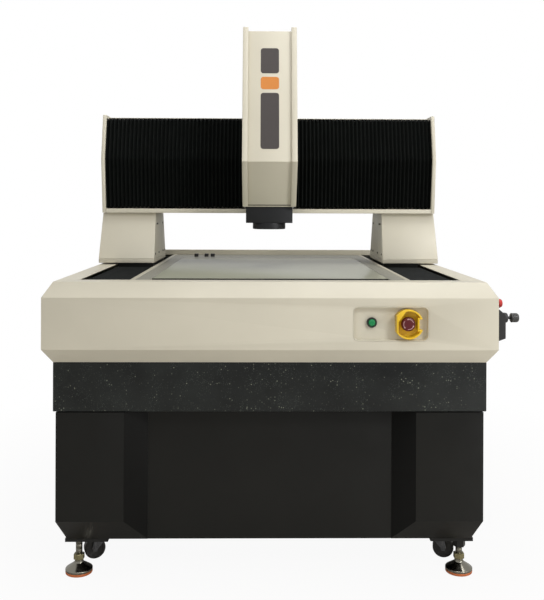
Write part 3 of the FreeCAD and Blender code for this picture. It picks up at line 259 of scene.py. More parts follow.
# %% [markdown]
# ## Paint
# Powder coat on folded sheet has a very fine orange peel, a satin sheen that wanders a little, and almost no
# colour change. The peel is a millimetre across, so it goes into a Bump node and not into the mesh.

# %% Mix the paints


def powder_coat(name, colour, roughness, peel, dust, **constants):
    finish = Finish(name, colour, roughness, **constants)
    wander = finish.noise(5.0, 3.0)
    finish.set("Base Color", finish.mix(
        finish.between(wander, 0.35, 0.7), tone(colour, 1.0), tone(colour, 1 - dust)))
    finish.set("Roughness", finish.between(
        finish.noise(16.0, 4.0), 0.3, 0.75, roughness - 0.05, roughness + 0.07))
    finish.relief(finish.noise(520.0, 1.0), peel)
    return finish.material


finishes = {
    "cream_paint": powder_coat("cream_powder_coat", shade(207, 201, 183), 0.42, 0.00012, 0.05),
    "black_paint": powder_coat("satin_black_coat", shade(27, 27, 25), 0.34, 0.00012, 0.16,
                               Specular_IOR_Level=0.2),
    "black_steel": powder_coat("black_fork_coat", shade(31, 31, 30), 0.36, 0.0001, 0.2,
                               Specular_IOR_Level=0.25),
    "cast_column": powder_coat("painted_casting", shade(190, 184, 166), 0.55, 0.0004, 0.08),
}
fork_coat = powder_coat("grey_fork_coat", shade(84, 84, 86), 0.3, 0.0001, 0.2)
# A darker copy of the black paint: painted shade for the slanted walls of the stand's recess.
painted_shade_recess_coat = powder_coat("matt_recess_coat", shade(20, 20, 19), 0.45, 0.00012, 0.1,
                          Specular_IOR_Level=0.1)
# A darker, greyer copy of the cream paint: painted shade for the stage trim.
painted_shade_trim_coat = powder_coat("shaded_trim_coat", shade(176, 171, 154), 0.45, 0.00012, 0.06)
print("paints:", len(finishes))

# %% [markdown]
# ## Granite
# The slab is honed black granite: a near-black ground with fine grey specks and fewer, larger pale ones of
# one to three millimetres, gathered in clusters by a noise. Voronoi cells give each speck its own size,
# because a speck is drawn only where the cell's own random number is high.

# %% Cut the granite
stone = Finish("honed_granite", shade(30, 32, 33), 0.34, Specular_IOR_Level=0.25)
cloud = stone.noise(9.0, 5.0)
ground = stone.mix(stone.between(cloud, 0.3, 0.7), (*shade(23, 25, 25), 1), (*shade(35, 38, 37), 1))


def specks(scale, radius, rarity):
    near = stone.add("ShaderNodeTexVoronoi", {}, {"Vector": stone.place(), "Scale": scale}, "Distance")
    chance = stone.add("ShaderNodeTexVoronoi", {}, {"Vector": stone.place(), "Scale": scale}, "Color")
    rare = stone.add("ShaderNodeSeparateColor", {}, {"Color": chance}) > rarity
    return stone.between(near, radius, radius * 0.5) * rare


clusters = stone.between(stone.noise(26.0, 3.0), 0.42, 0.62, 0.15, 1.0)
fine_specks = specks(420.0, 0.42, 0.72) * clusters
large_specks = specks(170.0, 0.3, 0.84) * clusters
ground = stone.mix(fine_specks * 0.5, ground, (*shade(104, 112, 106), 1))
ground = stone.mix(large_specks * 0.8, ground, (*shade(150, 154, 138), 1))
stone.set("Base Color", ground)
stone.set("Roughness", stone.between(cloud + fine_specks * 0.2, 0.3, 0.9, 0.28, 0.46))
stone.relief(stone.noise(300.0, 2.0), 0.00008)
finishes["granite"] = stone.material

# %% [markdown]
# ## Metal
# Ground rails show fine streaks along their length, milled plates a soft cross hatch, and anodised frames a
# matt skin. Each is a stretched noise in roughness and a very shallow bump.

# %% Machine the metals


def metal(name, colour, roughness, stretch, metallic=1.0, depth=0.00004):
    finish = Finish(name, colour, roughness, Metallic=metallic)
    streaks = finish.noise(1.0, 3.0, finish.stretched(stretch))
    finish.set("Base Color", finish.mix(streaks, tone(colour, 0.9), tone(colour, 1.08)))
    finish.set("Roughness", finish.between(streaks, 0.25, 0.75, roughness - 0.08, roughness + 0.1))
    finish.relief(streaks, depth)
    return finish.material


finishes["rail_steel"] = metal("ground_steel", shade(190, 190, 188), 0.26, (900, 9, 900))
finishes["aluminium"] = metal("milled_aluminium", shade(196, 197, 198), 0.36, (14, 600, 600))
finishes["anodised"] = metal("anodised_frame", shade(140, 138, 127), 0.5, (420, 30, 420), 0.2)
finishes["black_metal"] = metal("black_anodised", shade(36, 37, 39), 0.4, (700, 700, 60), 0.45)
finishes["foot_steel"] = metal("turned_steel", shade(142, 139, 128), 0.17, (60, 60, 900), 1.0, 0.00003)
screw_steel = metal("screw_steel", shade(58, 58, 57), 0.4, (800, 800, 800), 0.7)
nut_brass = metal("passivated_nut", shade(150, 143, 108), 0.3, (300, 300, 300), 0.9)
copper_ring = powder_coat("orange_pad_ring", shade(205, 112, 62), 0.4, 0.0001, 0.12)

# %% [markdown]
# ## Cloth, plastic and glass
# The bellows are coated cloth: near black, with a tight weave and a lighter ridge line that the folding tree
# marks in an attribute; that line is partly dust and partly a painted highlight. Moulded plastics share a fine
# grain. The stage glass is frosted and lets a little light through to the backlight.

# %% Weave the bellows cloth
cloth = Finish("coated_bellows_cloth", shade(13, 15, 14), 0.55, Specular_IOR_Level=0.12)
weave = cloth.noise(1500.0, 1.0)
ridge = cloth.add("ShaderNodeAttribute", {"attribute_name": "ridge"}, output="Fac")
# Lighter ridges: partly dust, partly a painted highlight along the pleat lines.
ridge_dust_and_highlight = cloth.between(ridge, 0.82, 1.0) * cloth.between(cloth.noise(14.0, 3.0), 0.35, 0.75, 0.25, 0.8)
cloth.set("Base Color", cloth.mix(ridge_dust_and_highlight, (*shade(12, 14, 13), 1), (*shade(52, 58, 54), 1)))
cloth.set("Roughness", cloth.between(cloth.noise(30.0, 3.0), 0.3, 0.7, 0.44, 0.6))
cloth.relief(weave, 0.0002)
finishes["bellows_cloth"] = cloth.material

# %% Mould the plastics


def moulded(name, colour, roughness, grain=0.00006, **constants):
    finish = Finish(name, colour, roughness, **constants)
    finish.set("Base Color", finish.mix(finish.noise(40.0, 3.0), tone(colour, 0.95), tone(colour, 1.04)))
    finish.set("Roughness", finish.between(
        finish.noise(90.0, 3.0), 0.3, 0.7, roughness - 0.05, roughness + 0.06))
    finish.relief(finish.noise(1100.0, 1.0), grain)
    return finish.material


finishes["black_plastic"] = moulded("grained_black_plastic", shade(38, 38, 38), 0.42)
finishes["knob_plastic"] = moulded("knob_plastic", shade(58, 58, 57), 0.36)
finishes["wheel_plastic"] = moulded("wheel_nylon", shade(28, 27, 25), 0.4)
finishes["yellow_plastic"] = moulded("guard_yellow", shade(232, 190, 44), 0.3, 0.00003)
finishes["red_plastic"] = moulded("mushroom_red", shade(88, 20, 26), 0.32, 0.00003)
finishes["bright_red_plastic"] = moulded("button_red", shade(188, 44, 38), 0.28, 0.00003)
finishes["green_lens"] = moulded("green_lens", shade(8, 132, 74), 0.2, 0.00002, Coat_Weight=0.3)
finishes["diffuser"] = moulded("milky_diffuser", shade(186, 189, 176), 0.55, 0.00002)
mark_grey = moulded("print_dark_grey", shade(58, 52, 50), 0.5, 0.00001)
mark_orange = moulded("print_orange", shade(204, 127, 52), 0.5, 0.00001)
arrow_print = moulded("print_pale_pink", shade(206, 170, 168), 0.45, 0.00001)
led_lens = moulded("led_lens", shade(226, 228, 222), 0.15, 0.00001)

# %% Pour the glass
pane = Finish("stage_glass_clear", shade(168, 169, 151), 0.25, IOR=1.3, Transmission_Weight=0.25,
              Specular_IOR_Level=0.15)
pane.set("Roughness", pane.between(pane.noise(3.0, 3.0), 0.3, 0.7, 0.23, 0.27))
finishes["stage_glass"] = pane.material
front_lens_glass = Finish("front_lens_glass", shade(20, 22, 34), 0.03, IOR=1.6, Coat_Weight=1.0)
front_lens_glass.set("Roughness", front_lens_glass.between(
    front_lens_glass.noise(50.0), 0.3, 0.7, 0.02, 0.05))

for name, piece in nodes.items():
    piece.data.materials[0] = finishes[slot_of[name]]
print("finishes:", len(finishes), "record slots dressed")

# %% [markdown]
# ## Soft edges
# A solid's edges are knife sharp, and real sheet and castings never are: an edge of half a millimetre is what
# catches the light. A copy of the solid's mesh is merged, its flat faces are joined, a Bevel modifier rounds
# the edges, and the result replaces the node. The solid itself is never changed.

# %% Write the helpers for finished pieces


def register(piece, body, replaced=()):
    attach(piece, body)
    if replaced:
        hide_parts(*replaced)
    return piece


def object_of(name, mesh, *materials):
    piece = bpy.data.objects.new(name, mesh)
    bpy.context.scene.collection.objects.link(piece)
    if materials:
        mesh.materials.clear()
        for material in materials:
            mesh.materials.append(material)
    return piece


def plain_mesh(piece, sharp_angle=32):
    """The piece with its modifiers turned into mesh, shaded smooth between its edges."""
    made = bpy.data.meshes.new_from_object(piece.evaluated_get(bpy.context.evaluated_depsgraph_get()))
    piece.modifiers.clear()
    piece.data = made
    made.shade_smooth()
    if sharp_angle:
        made.set_sharp_from_angle(angle=math.radians(sharp_angle))
    return piece


def bevelled(piece, width):
    """Round the edges and keep the large faces flat in their shading."""
    edge = piece.modifiers.new("edges", "BEVEL")
    edge.width = width
    edge.segments = 2
    edge.limit_method = "ANGLE"
    edge.angle_limit = math.radians(28)
    edge.harden_normals = True
    piece.data.shade_smooth()
    return plain_mesh(piece, sharp_angle=None)


def mesh_of(name, shell):
    """Keep what the shell holds as a mesh."""
    mesh = bpy.data.meshes.new(name)
    shell.to_mesh(mesh)
    shell.free()
    return mesh


def thickened(shell, corners, shift):
    """A face through the corners, a copy of it moved by the shift, and walls between them."""
    face = shell.faces.new([shell.verts.new(corner) for corner in corners])
    for item in bmesh.ops.extrude_face_region(shell, geom=[face])["geom"]:
        if isinstance(item, bmesh.types.BMVert):
            item.co += Vector(shift)
    bmesh.ops.recalc_face_normals(shell, faces=shell.faces)


def merged_copy(node):
    shell = bmesh.new()
    shell.from_mesh(nodes[node].data)
    bmesh.ops.remove_doubles(shell, verts=shell.verts, dist=0.00002)
    bmesh.ops.dissolve_limit(
        shell, angle_limit=math.radians(0.4), verts=shell.verts, edges=shell.edges)
    return mesh_of(node + "_soft", shell)


def softened(node, width):
    piece = object_of(node + "_soft", merged_copy(node), finishes[slot_of[node]])
    bevelled(piece, width)
    return register(piece, body_of[node], [node])


def pushed(name, outline, low, high, material):
    """A plate with its outline in X and Z, pushed along Y."""
    shell = bmesh.new()
    thickened(shell, [(x, low, z) for x, z in outline], (0, high - low, 0))
    return object_of(name, mesh_of(name, shell), material)


# %% Soften the sheet metal, the stone and the castings
EDGES = {
    0.0014: ["casing_front", "casing_rear", "casing_left", "casing_right", "stand_shells", "stand_panels",
             "beam_bottom_strip", "beam_end_plates", "beam_rear_cover", "column_cover_left",
             "column_cover_right"],
    0.003: ["head_side_left", "head_side_right"],
    0.002: ["granite_base", "lamp_housing", "bridge_columns"],
    0.001: ["control_tray", "stage_frame", "stage_glass", "stage_trim", "locating_blocks", "head_front_cover",
            "estop_guard", "camera", "x_saddle", "head_backplate", "z_plate", "z_actuator"],
}
FLANGE_LOW = 0.8368
PANEL_HALF = 0.342
LAP_HALF = 0.0014
LAP_LOW, LAP_HIGH = 0.1045, 0.4725
LAP_BACK, LAP_FACE = 0.5766, 0.5807
for width, names in EDGES.items():
    for node in names:
        softened(node, width)


def painted_over(node, material, chosen):
    """Give the chosen faces of a softened node a second material."""
    mesh = bpy.data.objects[node + "_soft"].data
    mesh.materials.append(material)
    for face in mesh.polygons:
        if chosen(face):
            face.material_index = 1


# Painted shade: the column necks below the flange are painted black, for the shadow under the flange.
painted_over("bridge_columns", finishes["black_paint"], lambda face: face.center.z < FLANGE_LOW)
# Painted shade: the glass's front edge is painted black, for the shadowed strip between the deck edge and the
# glass.
painted_over("stage_glass", finishes["black_paint"], lambda face: face.normal.y < -0.4)
# Painted shade: the whole stage trim takes the darker copy of the cream.
painted_over("stage_trim", painted_shade_trim_coat, lambda face: True)
# Painted shade: the slanted recess walls of the stand shells get the darker coat.
painted_over("stand_shells", painted_shade_recess_coat, lambda face: (
    face.area > 0.002 and abs(face.center.x - MIDDLE) < 0.48 and 0.1 < abs(face.normal.x) < 0.9))
for side, hand in SIDES:
    for end, row in ENDS:
        low_x, high_x = MIDDLE + side * PANEL_HALF - LAP_HALF, MIDDLE + side * PANEL_HALF + LAP_HALF
        corners = [(low_x, LAP_LOW), (high_x, LAP_LOW), (high_x, LAP_HIGH), (low_x, LAP_HIGH)]
        strip = pushed(
            f"panel_lap_{row}_{hand}", corners, end * LAP_BACK, end * LAP_FACE, finishes["black_paint"])
        register(strip, "base")
print("softened:", sum(len(names) for names in EDGES.values()), "nodes")

# %% [markdown]
# ## Bellows
# A bellows is one sheet folded to a zigzag, wrapped round the beam's nosed front. The rule is simple enough
# for Geometry Nodes: a grid runs along the travel, each row is laid on the outline, and a wave pushes it
# inwards between the ridges. The wave is kept in an attribute, so that the cloth's material can lighten the
# ridges with dust and a painted highlight. Each bellows hangs between two bodies.

# %% Grow the folding tree
STEPS_PER_FOLD = 6
ROWS = 64


def new_tree(name, inputs):
    tree = bpy.data.node_groups.new(name, "GeometryNodeTree")
    tree.interface.new_socket("Geometry", in_out="OUTPUT", socket_type="NodeSocketGeometry")
    tree.interface.new_socket("Geometry", in_out="INPUT", socket_type="NodeSocketGeometry")
    for label, kind in inputs.items():
        tree.interface.new_socket(label, in_out="INPUT", socket_type="NodeSocket" + kind)
    wiring = Wiring(tree)
    entry = tree.nodes.new("NodeGroupInput")
    return wiring, {socket.name: Number(wiring, socket) for socket in entry.outputs}


def end_tree(wiring, geometry, material):
    solid = wiring.add("GeometryNodeRealizeInstances", {}, {0: geometry})
    dressed = wiring.add("GeometryNodeSetMaterial", {}, {"Geometry": solid, "Material": material})
    exit_node = wiring.tree.nodes.new("NodeGroupOutput")
    wiring.feed(exit_node.inputs[0], dressed)
    return wiring.tree


def grown(piece, tree, **values):
    """Run a tree on a piece as a modifier, with the given input values."""
    grower = piece.modifiers.new("tree", "NODES")
    grower.node_group = tree
    for socket in tree.interface.items_tree:
        if socket.in_out == "INPUT" and socket.name.replace(" ", "_") in values:
            grower[socket.identifier] = values[socket.name.replace(" ", "_")]
    return piece


fold, given = new_tree("folded_sheet", {
    "Length": "Float", "Start": "Float", "Folds": "Int", "Depth": "Float", "Corner": "Float",
    "Material": "Material"})
outline_curve = fold.add("GeometryNodeFilletCurve", {"mode": "POLY"}, {
    "Curve": fold.add("GeometryNodeMeshToCurve", {}, {0: given["Geometry"]}),
    "Radius": given["Corner"], "Count": 5})
sheet_grid = fold.add("GeometryNodeMeshGrid", {}, {
    "Size X": given["Length"], "Size Y": 1.0, "Vertices X": given["Folds"] * STEPS_PER_FOLD + 1,
    "Vertices Y": ROWS})
here = fold.add("GeometryNodeInputPosition")
along = fold.add("ShaderNodeSeparateXYZ", {}, {0: here}, "X") + given["Length"] / 2
across = fold.add("ShaderNodeSeparateXYZ", {}, {0: here}, "Y") + 0.5
on_curve = ({"mode": "FACTOR"}, {"Curves": outline_curve, "Factor": across})
spot = fold.add("GeometryNodeSampleCurve", *on_curve, "Position")
run = fold.add("GeometryNodeSampleCurve", *on_curve, "Tangent")
inwards = fold.add("ShaderNodeVectorMath", {"operation": "CROSS_PRODUCT"}, {0: run, 1: (1, 0, 0)})
turn = fold.maths("COSINE", along / given["Length"] * given["Folds"] * math.tau)
sharp = fold.maths("ARCSINE", turn * 0.97) / (math.pi / 2)
height = (turn * 0.35 + sharp * 0.65 + 1) / 2
sunk = fold.add("ShaderNodeVectorMath", {"operation": "SCALE"}, {
    0: inwards, "Scale": (1 - height) * given["Depth"]})
laid = fold.add("ShaderNodeVectorMath", {"operation": "ADD"}, {0: spot, 1: sunk})
set_along = fold.add("ShaderNodeCombineXYZ", {}, {"X": along + given["Start"]})
place = fold.add("ShaderNodeVectorMath", {"operation": "ADD"}, {0: laid, 1: set_along})
shaped = fold.add("GeometryNodeSetPosition", {}, {"Geometry": sheet_grid, "Position": place})
marked = fold.add("GeometryNodeStoreNamedAttribute", {"data_type": "FLOAT"}, {
    "Geometry": shaped, "Name": "ridge", "Value": height})
folding_tree = end_tree(fold, marked, given["Material"])
print("folding tree:", len(folding_tree.nodes), "nodes")

# %% Hang the bellows
BEAM_FOLDS = 35
BEAM_OUTER = 0.575
BEAM_INNER = 0.089
BEAM_OUTLINE = [(0.054, 1.0295), (0.0175, 1.0295), (-0.0105, 1.203), (0.0225, 1.3495), (0.054, 1.3495)]
SLOT_FOLDS = 32
SLOT_TOP = 0.824
SLOT_HEM = 0.813
SLOT_INNER = 0.3965
SLOT_OUTER = 0.5345
SKIN = 0.0011


def bellows(name, outline, start, length, folds, depth, corner, along_y=False):
    path = bpy.data.meshes.new(name)
    path.from_pydata([(0, *point) for point in outline], [(i, i + 1) for i in range(len(outline) - 1)], [])
    piece = object_of(name, path)
    grown(piece, folding_tree, Length=length, Start=start, Folds=folds, Depth=depth, Corner=corner,
          Material=finishes["bellows_cloth"])
    skin = piece.modifiers.new("skin", "SOLIDIFY")
    skin.thickness = SKIN
    skin.offset = -1
    plain_mesh(piece, sharp_angle=60)
    if along_y:
        piece.data.transform(Matrix.Rotation(math.radians(90), 4, "Z"))
    return piece


for side, label in SIDES:
    outer, inner = MIDDLE + side * BEAM_OUTER, MIDDLE + side * BEAM_INNER
    piece = bellows("beam_bellows_" + label, BEAM_OUTLINE, min(outer, inner), abs(outer - inner), BEAM_FOLDS,
                    0.0105, 0.004)
    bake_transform(piece)
    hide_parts("x_bellows")

SLOT_SPANS = {"front": (-0.585, -0.001), "rear": (0.322, 0.579)}
for side, label in SIDES:
    for end, (low, high) in SLOT_SPANS.items():
        edges = sorted((-(MIDDLE + side * SLOT_INNER), -(MIDDLE + side * SLOT_OUTER)))
        outline = [(edges[0], SLOT_HEM), (edges[0], SLOT_TOP), (edges[1], SLOT_TOP), (edges[1], SLOT_HEM)]
        piece = bellows(f"slot_bellows_{label}_{end}", outline, low, high - low, SLOT_FOLDS, 0.0085, 0.002,
                        along_y=True)
        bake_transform(piece)
        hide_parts("y_bellows")
print("bellows: 2 on the beam, 4 in the slots")

# %% [markdown]
# ## Screws
# The covers are held by small cap screws. They repeat, so a tree makes one head with its hexagon socket and
# sets a copy on every point it is given, turned to the face's outward direction.

# %% Grow the screw tree
driver, asked = new_tree("cap_screws", {
    "Radius": "Float", "Height": "Float", "Facing": "Vector", "Material": "Material"})
head_block = driver.add("GeometryNodeMeshCylinder", {}, {
    "Vertices": 20, "Radius": asked["Radius"], "Depth": asked["Height"]}, "Mesh")
socket_block = driver.add("GeometryNodeMeshCylinder", {}, {
    "Vertices": 6, "Radius": asked["Radius"] * 0.52, "Depth": asked["Height"]}, "Mesh")
raised = driver.add("GeometryNodeTransform", {}, {
    "Geometry": socket_block,
    "Translation": driver.add("ShaderNodeCombineXYZ", {}, {"Z": asked["Height"] * 0.45})})
dished = driver.add("GeometryNodeMeshBoolean", {"operation": "DIFFERENCE"}, {
    0: head_block, 1: raised}, "Mesh")
towards = driver.add("FunctionNodeAlignRotationToVector", {"axis": "Z"}, {"Vector": asked["Facing"]})
copies = driver.add("GeometryNodeInstanceOnPoints", {}, {
    "Points": asked["Geometry"], "Instance": dished, "Rotation": towards})
screw_tree = end_tree(driver, copies, asked["Material"])


def screws(name, body, facing, radius, spots):
    """Cap screws at the spots, on the face that looks along facing."""
    cloud_mesh = bpy.data.meshes.new(name)
    cloud_mesh.from_pydata([tuple(spot) for spot in spots], [], [])
    piece = object_of(name, cloud_mesh)
    grown(piece, screw_tree, Radius=radius, Height=radius, Facing=facing, Material=screw_steel)
    plain_mesh(piece, sharp_angle=30)
    return register(piece, body)


def mirrored_x(spots):
    return [(2 * MIDDLE - x, y, z) for x, y, z in spots]


# %% Set the screws
inner_column = [(MIDDLE - 0.4018, y, z) for y, z in
                ((0.058, 0.974), (0.082, 0.974), (0.232, 0.974),
                 (0.022, 0.868), (0.12, 0.868), (0.24, 0.868), (0.298, 0.868))]
screws("column_screws_left", "bridge", (1, 0, 0), 0.0034, inner_column)
screws("column_screws_right", "bridge", (-1, 0, 0), 0.0034, mirrored_x(inner_column))
outer_end = [(MIDDLE - 0.5872, y, z) for y in (0.04, 0.225) for z in (1.045, 1.19, 1.325)]
screws("beam_end_screws_left", "bridge", (-1, 0, 0), 0.0045, outer_end)
screws("beam_end_screws_right", "bridge", (1, 0, 0), 0.0045, mirrored_x(outer_end))
screws("beam_cover_screws", "bridge", (0, 1, 0), 0.004,
       [(MIDDLE + 0.14 * step, 0.2522, z) for step in range(-4, 5, 2) for z in (1.04, 1.33)])
screws("casing_rear_screws", "base", (0, 1, 0), 0.004,
       [(MIDDLE + 0.19 * step, 0.6692, z) for step in range(-3, 4) for z in (0.668, 0.772)])
screws("rear_panel_screws", "base", (0, 1, 0), 0.004,
       [(MIDDLE + x, 0.5812, z) for x in (-0.315, 0, 0.315) for z in (0.13, 0.45)])
print("screw sets placed")

# %% [markdown]
# ## Turned pieces
# Buttons, feet and lens barrels are turned on a lathe. A profile of radius and height is spun about its axis;
# its inner corners are first rounded to small arcs, because a turned edge is always broken.

# %% Write the lathe


def rounded(points, radius, steps=3):
    """The same open outline, its inner corners eased with short curves."""
    made = [Vector(points[0])]
    for before, corner, after in zip(points, points[1:], points[2:]):
        before, corner, after = Vector(before), Vector(corner), Vector(after)
        back, on = before - corner, after - corner
        reach = min(radius, back.length / 2.2, on.length / 2.2)
        start, stop = corner + back.normalized() * reach, corner + on.normalized() * reach
        for step in range(steps + 1):
            share = step / steps
            made.append(start * (1 - share) ** 2 + corner * 2 * share * (1 - share) + stop * share ** 2)
    return made + [Vector(points[-1])]


def turned(name, profile, centre, axis, material, ease=0.0006, sides=56):
    """A solid of revolution: profile in (radius, height) along axis from centre."""
    shell = bmesh.new()
    rings = []
    for radius, height in rounded(profile, ease) if ease else profile:
        if radius < 1e-6:
            rings.append([shell.verts.new((0, 0, height))])
        else:
            angles = [math.tau * i / sides for i in range(sides)]
            rings.append([
                shell.verts.new((radius * math.cos(a), radius * math.sin(a), height)) for a in angles])
    for lower, upper in zip(rings, rings[1:]):
        for i in range(sides):
            j = (i + 1) % sides
            corners = [lower[i % len(lower)], lower[j % len(lower)],
                       upper[j % len(upper)], upper[i % len(upper)]]
            shell.faces.new(list(dict.fromkeys(corners)))
    bmesh.ops.recalc_face_normals(shell, faces=shell.faces)
    mesh = mesh_of(name, shell)
    mesh.transform(Vector(axis).to_track_quat("Z", "Y").to_matrix().to_4x4())
    mesh.transform(Matrix.Translation(centre))
    mesh.shade_smooth()
    mesh.set_sharp_from_angle(angle=math.radians(38))
    return object_of(name, mesh, material)


# %% [markdown]
# ## Levelling feet
# Each foot is a wide steel pad on an orange anti-slip ring, a cone with a ball joint, a hexagon nut, and a
# threaded stud that goes up into the stand. The thread is a spiral curve with a triangular section.

# %% Turn the feet
FOOT_X = 0.54
FOOT_Y = 0.555
PAD = [(0, 0.0072), (0.0365, 0.0072), (0.038, 0.0082), (0.038, 0.0128), (0.0366, 0.0142), (0.0135, 0.0295),
       (0.0128, 0.031), (0.012, 0.0335), (0.012, 0.037), (0.0095, 0.0385), (0, 0.0385)]
RING = [(0, 0), (0.0362, 0), (0.0375, 0.0012), (0.038, 0.0062), (0.0372, 0.0075), (0, 0.0075)]
STUD = [(0, 0.036), (0.0088, 0.036), (0.0088, 0.148), (0.0078, 0.15), (0, 0.15)]
THREAD_START = 0.056
THREAD = {"Radius": 0.0086, "Pitch": 0.002, "Length": 0.0935}
NUT_FLATS = 0.028
NUT_LOW, NUT_HIGH = 0.0385, 0.0535

thread, wanted = new_tree("screw_thread", {
    "Radius": "Float", "Pitch": "Float", "Length": "Float", "Material": "Material"})
winding = thread.add("GeometryNodeCurveSpiral", {}, {
    "Resolution": 24, "Rotations": wanted["Length"] / wanted["Pitch"], "Start Radius": wanted["Radius"],
    "End Radius": wanted["Radius"], "Height": wanted["Length"]})
section = thread.add("GeometryNodeCurvePrimitiveCircle", {"mode": "RADIUS"}, {
    "Resolution": 4, "Radius": wanted["Pitch"] * 0.42})
wound = thread.add("GeometryNodeCurveToMesh", {}, {"Curve": winding, "Profile Curve": section})
both = thread.add("GeometryNodeJoinGeometry")
thread.tree.links.new(wound.socket, both.socket.node.inputs[0])
thread.tree.links.new(wanted["Geometry"].socket, both.socket.node.inputs[0])
thread_tree = end_tree(thread, both, wanted["Material"])


def hexagon(name, flats, low, high, centre, material):
    """A hexagon nut with its corners chamfered on both faces."""
    radius = flats / math.sqrt(3)
    shell = bmesh.new()
    bmesh.ops.create_cone(shell, cap_ends=True, segments=6, radius1=radius, radius2=radius, depth=high - low)
    mesh = mesh_of(name, shell)
    mesh.transform(Matrix.Translation((centre[0], centre[1], (low + high) / 2)))
    return bevelled(object_of(name, mesh, material), 0.0011)


for side, hand in SIDES:
    for end, row in ENDS:
        corner = f"{row}_{hand}"
        body = "foot_" + corner
        base = (MIDDLE + side * FOOT_X, end * FOOT_Y, 0)
        pad = turned(body + "_pad", PAD, base, (0, 0, 1), finishes["foot_steel"])
        register(pad, body, [body])
        register(turned(body + "_ring", RING, base, (0, 0, 1), copper_ring), body)
        stud = turned(body + "_stud", STUD, (0, 0, 0), (0, 0, 1), finishes["foot_steel"], sides=28)
        stud.data.transform(Matrix.Translation((0, 0, -THREAD_START)))
        grown(stud, thread_tree, Material=finishes["foot_steel"], **THREAD)
        plain_mesh(stud, sharp_angle=30)
        stud.data.transform(Matrix.Translation(Vector(base) + Vector((0, 0, THREAD_START))))
        register(stud, body)
        register(hexagon(body + "_nut", NUT_FLATS, NUT_LOW, NUT_HIGH, base, nut_brass), body)
        softened("caster_fork_" + corner, 0.0006)
        painted_over("caster_fork_" + corner, fork_coat, lambda face: True)
        softened("caster_wheel_" + corner, 0.0006)
print("feet and casters: four corners")

# %% [markdown]
# ## Controls
# The lit push-button is a domed lens in a black bezel. The emergency stop is a mushroom head with three
# turning arrows on its face, in a yellow guard. The joystick's knob is ribbed for the fingers.

# %% Shape the controls
FRONT = (0, -1, 0)
RIGHT = (1, 0, 0)
POWER_SEAT = (0.2335, -0.649, 0.723)
STOP_SEAT = (0.3305, -0.649, 0.721)

power = turned("power_lens", [
    (0, -0.018), (0.0098, -0.018), (0.0098, 0.0072), (0.0092, 0.009), (0.0074, 0.0104), (0.004, 0.0109),
    (0, 0.011)], POWER_SEAT, FRONT, finishes["green_lens"])
register(power, "power_button", ["power_button"])

stop_head = turned("stop_mushroom", [
    (0, 0.0145), (0.012, 0.0135), (0.0185, 0.0138), (0.0195, 0.016), (0.0195, 0.0215), (0.0182, 0.0252),
    (0.0158, 0.0268), (0.0115, 0.0272), (0, 0.0275)], STOP_SEAT, FRONT, finishes["red_plastic"], 0.0012)
register(stop_head, "estop_mushroom", ["estop_mushroom"])


def turning_arrow(name, start, sweep):
    """A flat curved arrow on the mushroom's face, its head at the end of the sweep."""
    steps, inner, outer, head = 12, 0.0131, 0.0143, 0.0172
    low, high = 0.02705, 0.0277
    outline = []
    for step in range(steps + 1):
        angle = start + sweep * step / steps
        outline.append((outer * math.cos(angle), outer * math.sin(angle)))
    tip = start + sweep + math.radians(16)
    middle = (inner + outer) / 2
    outline += [(head * 0.94 * math.cos(start + sweep), head * 0.94 * math.sin(start + sweep)),
                (middle * math.cos(tip), middle * math.sin(tip)),
                (0.0114 * math.cos(start + sweep), 0.0114 * math.sin(start + sweep))]
    for step in range(steps, -1, -1):
        angle = start + sweep * step / steps
        outline.append((inner * math.cos(angle), inner * math.sin(angle)))
    shell = bmesh.new()
    thickened(shell, [(x, y, low) for x, y in outline], (0, 0, high - low))
    bmesh.ops.triangulate(shell, faces=shell.faces)
    mesh = mesh_of(name, shell)
    mesh.transform(Vector(FRONT).to_track_quat("Z", "Y").to_matrix().to_4x4())
    mesh.transform(Matrix.Translation(STOP_SEAT))
    return register(object_of(name, mesh, arrow_print), "estop_mushroom")


for count in range(3):
    turning_arrow(f"stop_arrow_{count + 1}", math.radians(120 * count + 20), math.radians(74))

KNOB = [(0, 0.0002), (0.004, 0.0002), (0.0108, 0.0002), (0.0132, 0.0022), (0.0134, 0.0048), (0.0122, 0.0066),
        (0.0122, 0.0192), (0.0104, 0.0226), (0.006, 0.0238), (0, 0.024)]
AXIS_Y, AXIS_Z = -0.569, 0.725
knob = turned("joystick_grip", KNOB, (MIDDLE + 0.681, AXIS_Y, AXIS_Z), RIGHT, finishes["knob_plastic"], 0.001)
register(knob, "joystick_knob", ["joystick_knob"])

ribs, needed = new_tree("finger_ribs", {
    "Radius": "Float", "Length": "Float", "Width": "Float", "Count": "Int", "Material": "Material"})
rib = ribs.add("GeometryNodeMeshCylinder", {}, {
    "Vertices": 8, "Radius": needed["Width"] * 0.5, "Depth": needed["Length"]}, "Mesh")
round_path = ribs.add("GeometryNodeMeshCircle", {}, {"Vertices": needed["Count"], "Radius": needed["Radius"]})
rib_ring = ribs.add("GeometryNodeInstanceOnPoints", {}, {"Points": round_path, "Instance": rib})
rib_tree = end_tree(ribs, rib_ring, needed["Material"])


def ribbed(name, radius, length, width, count, centre, axis, body, material):
    seed = object_of(name, bpy.data.meshes.new(name))
    grown(seed, rib_tree, Radius=radius, Length=length, Width=width, Count=count, Material=material)
    plain_mesh(seed, sharp_angle=50)
    seed.data.transform(Vector(axis).to_track_quat("Z", "Y").to_matrix().to_4x4())
    seed.data.transform(Matrix.Translation(centre))
    return register(seed, body)


ribbed("joystick_grip_ribs", 0.01195, 0.0125, 0.0022, 20, (MIDDLE + 0.6935, AXIS_Y, AXIS_Z), RIGHT,
       "joystick_knob", finishes["knob_plastic"])
for node, width in (("button_bezels", 0.0006), ("estop_stem", 0.0004), ("side_button", 0.0008),
                    ("joystick_gimbal", 0.0003)):
    softened(node, width)

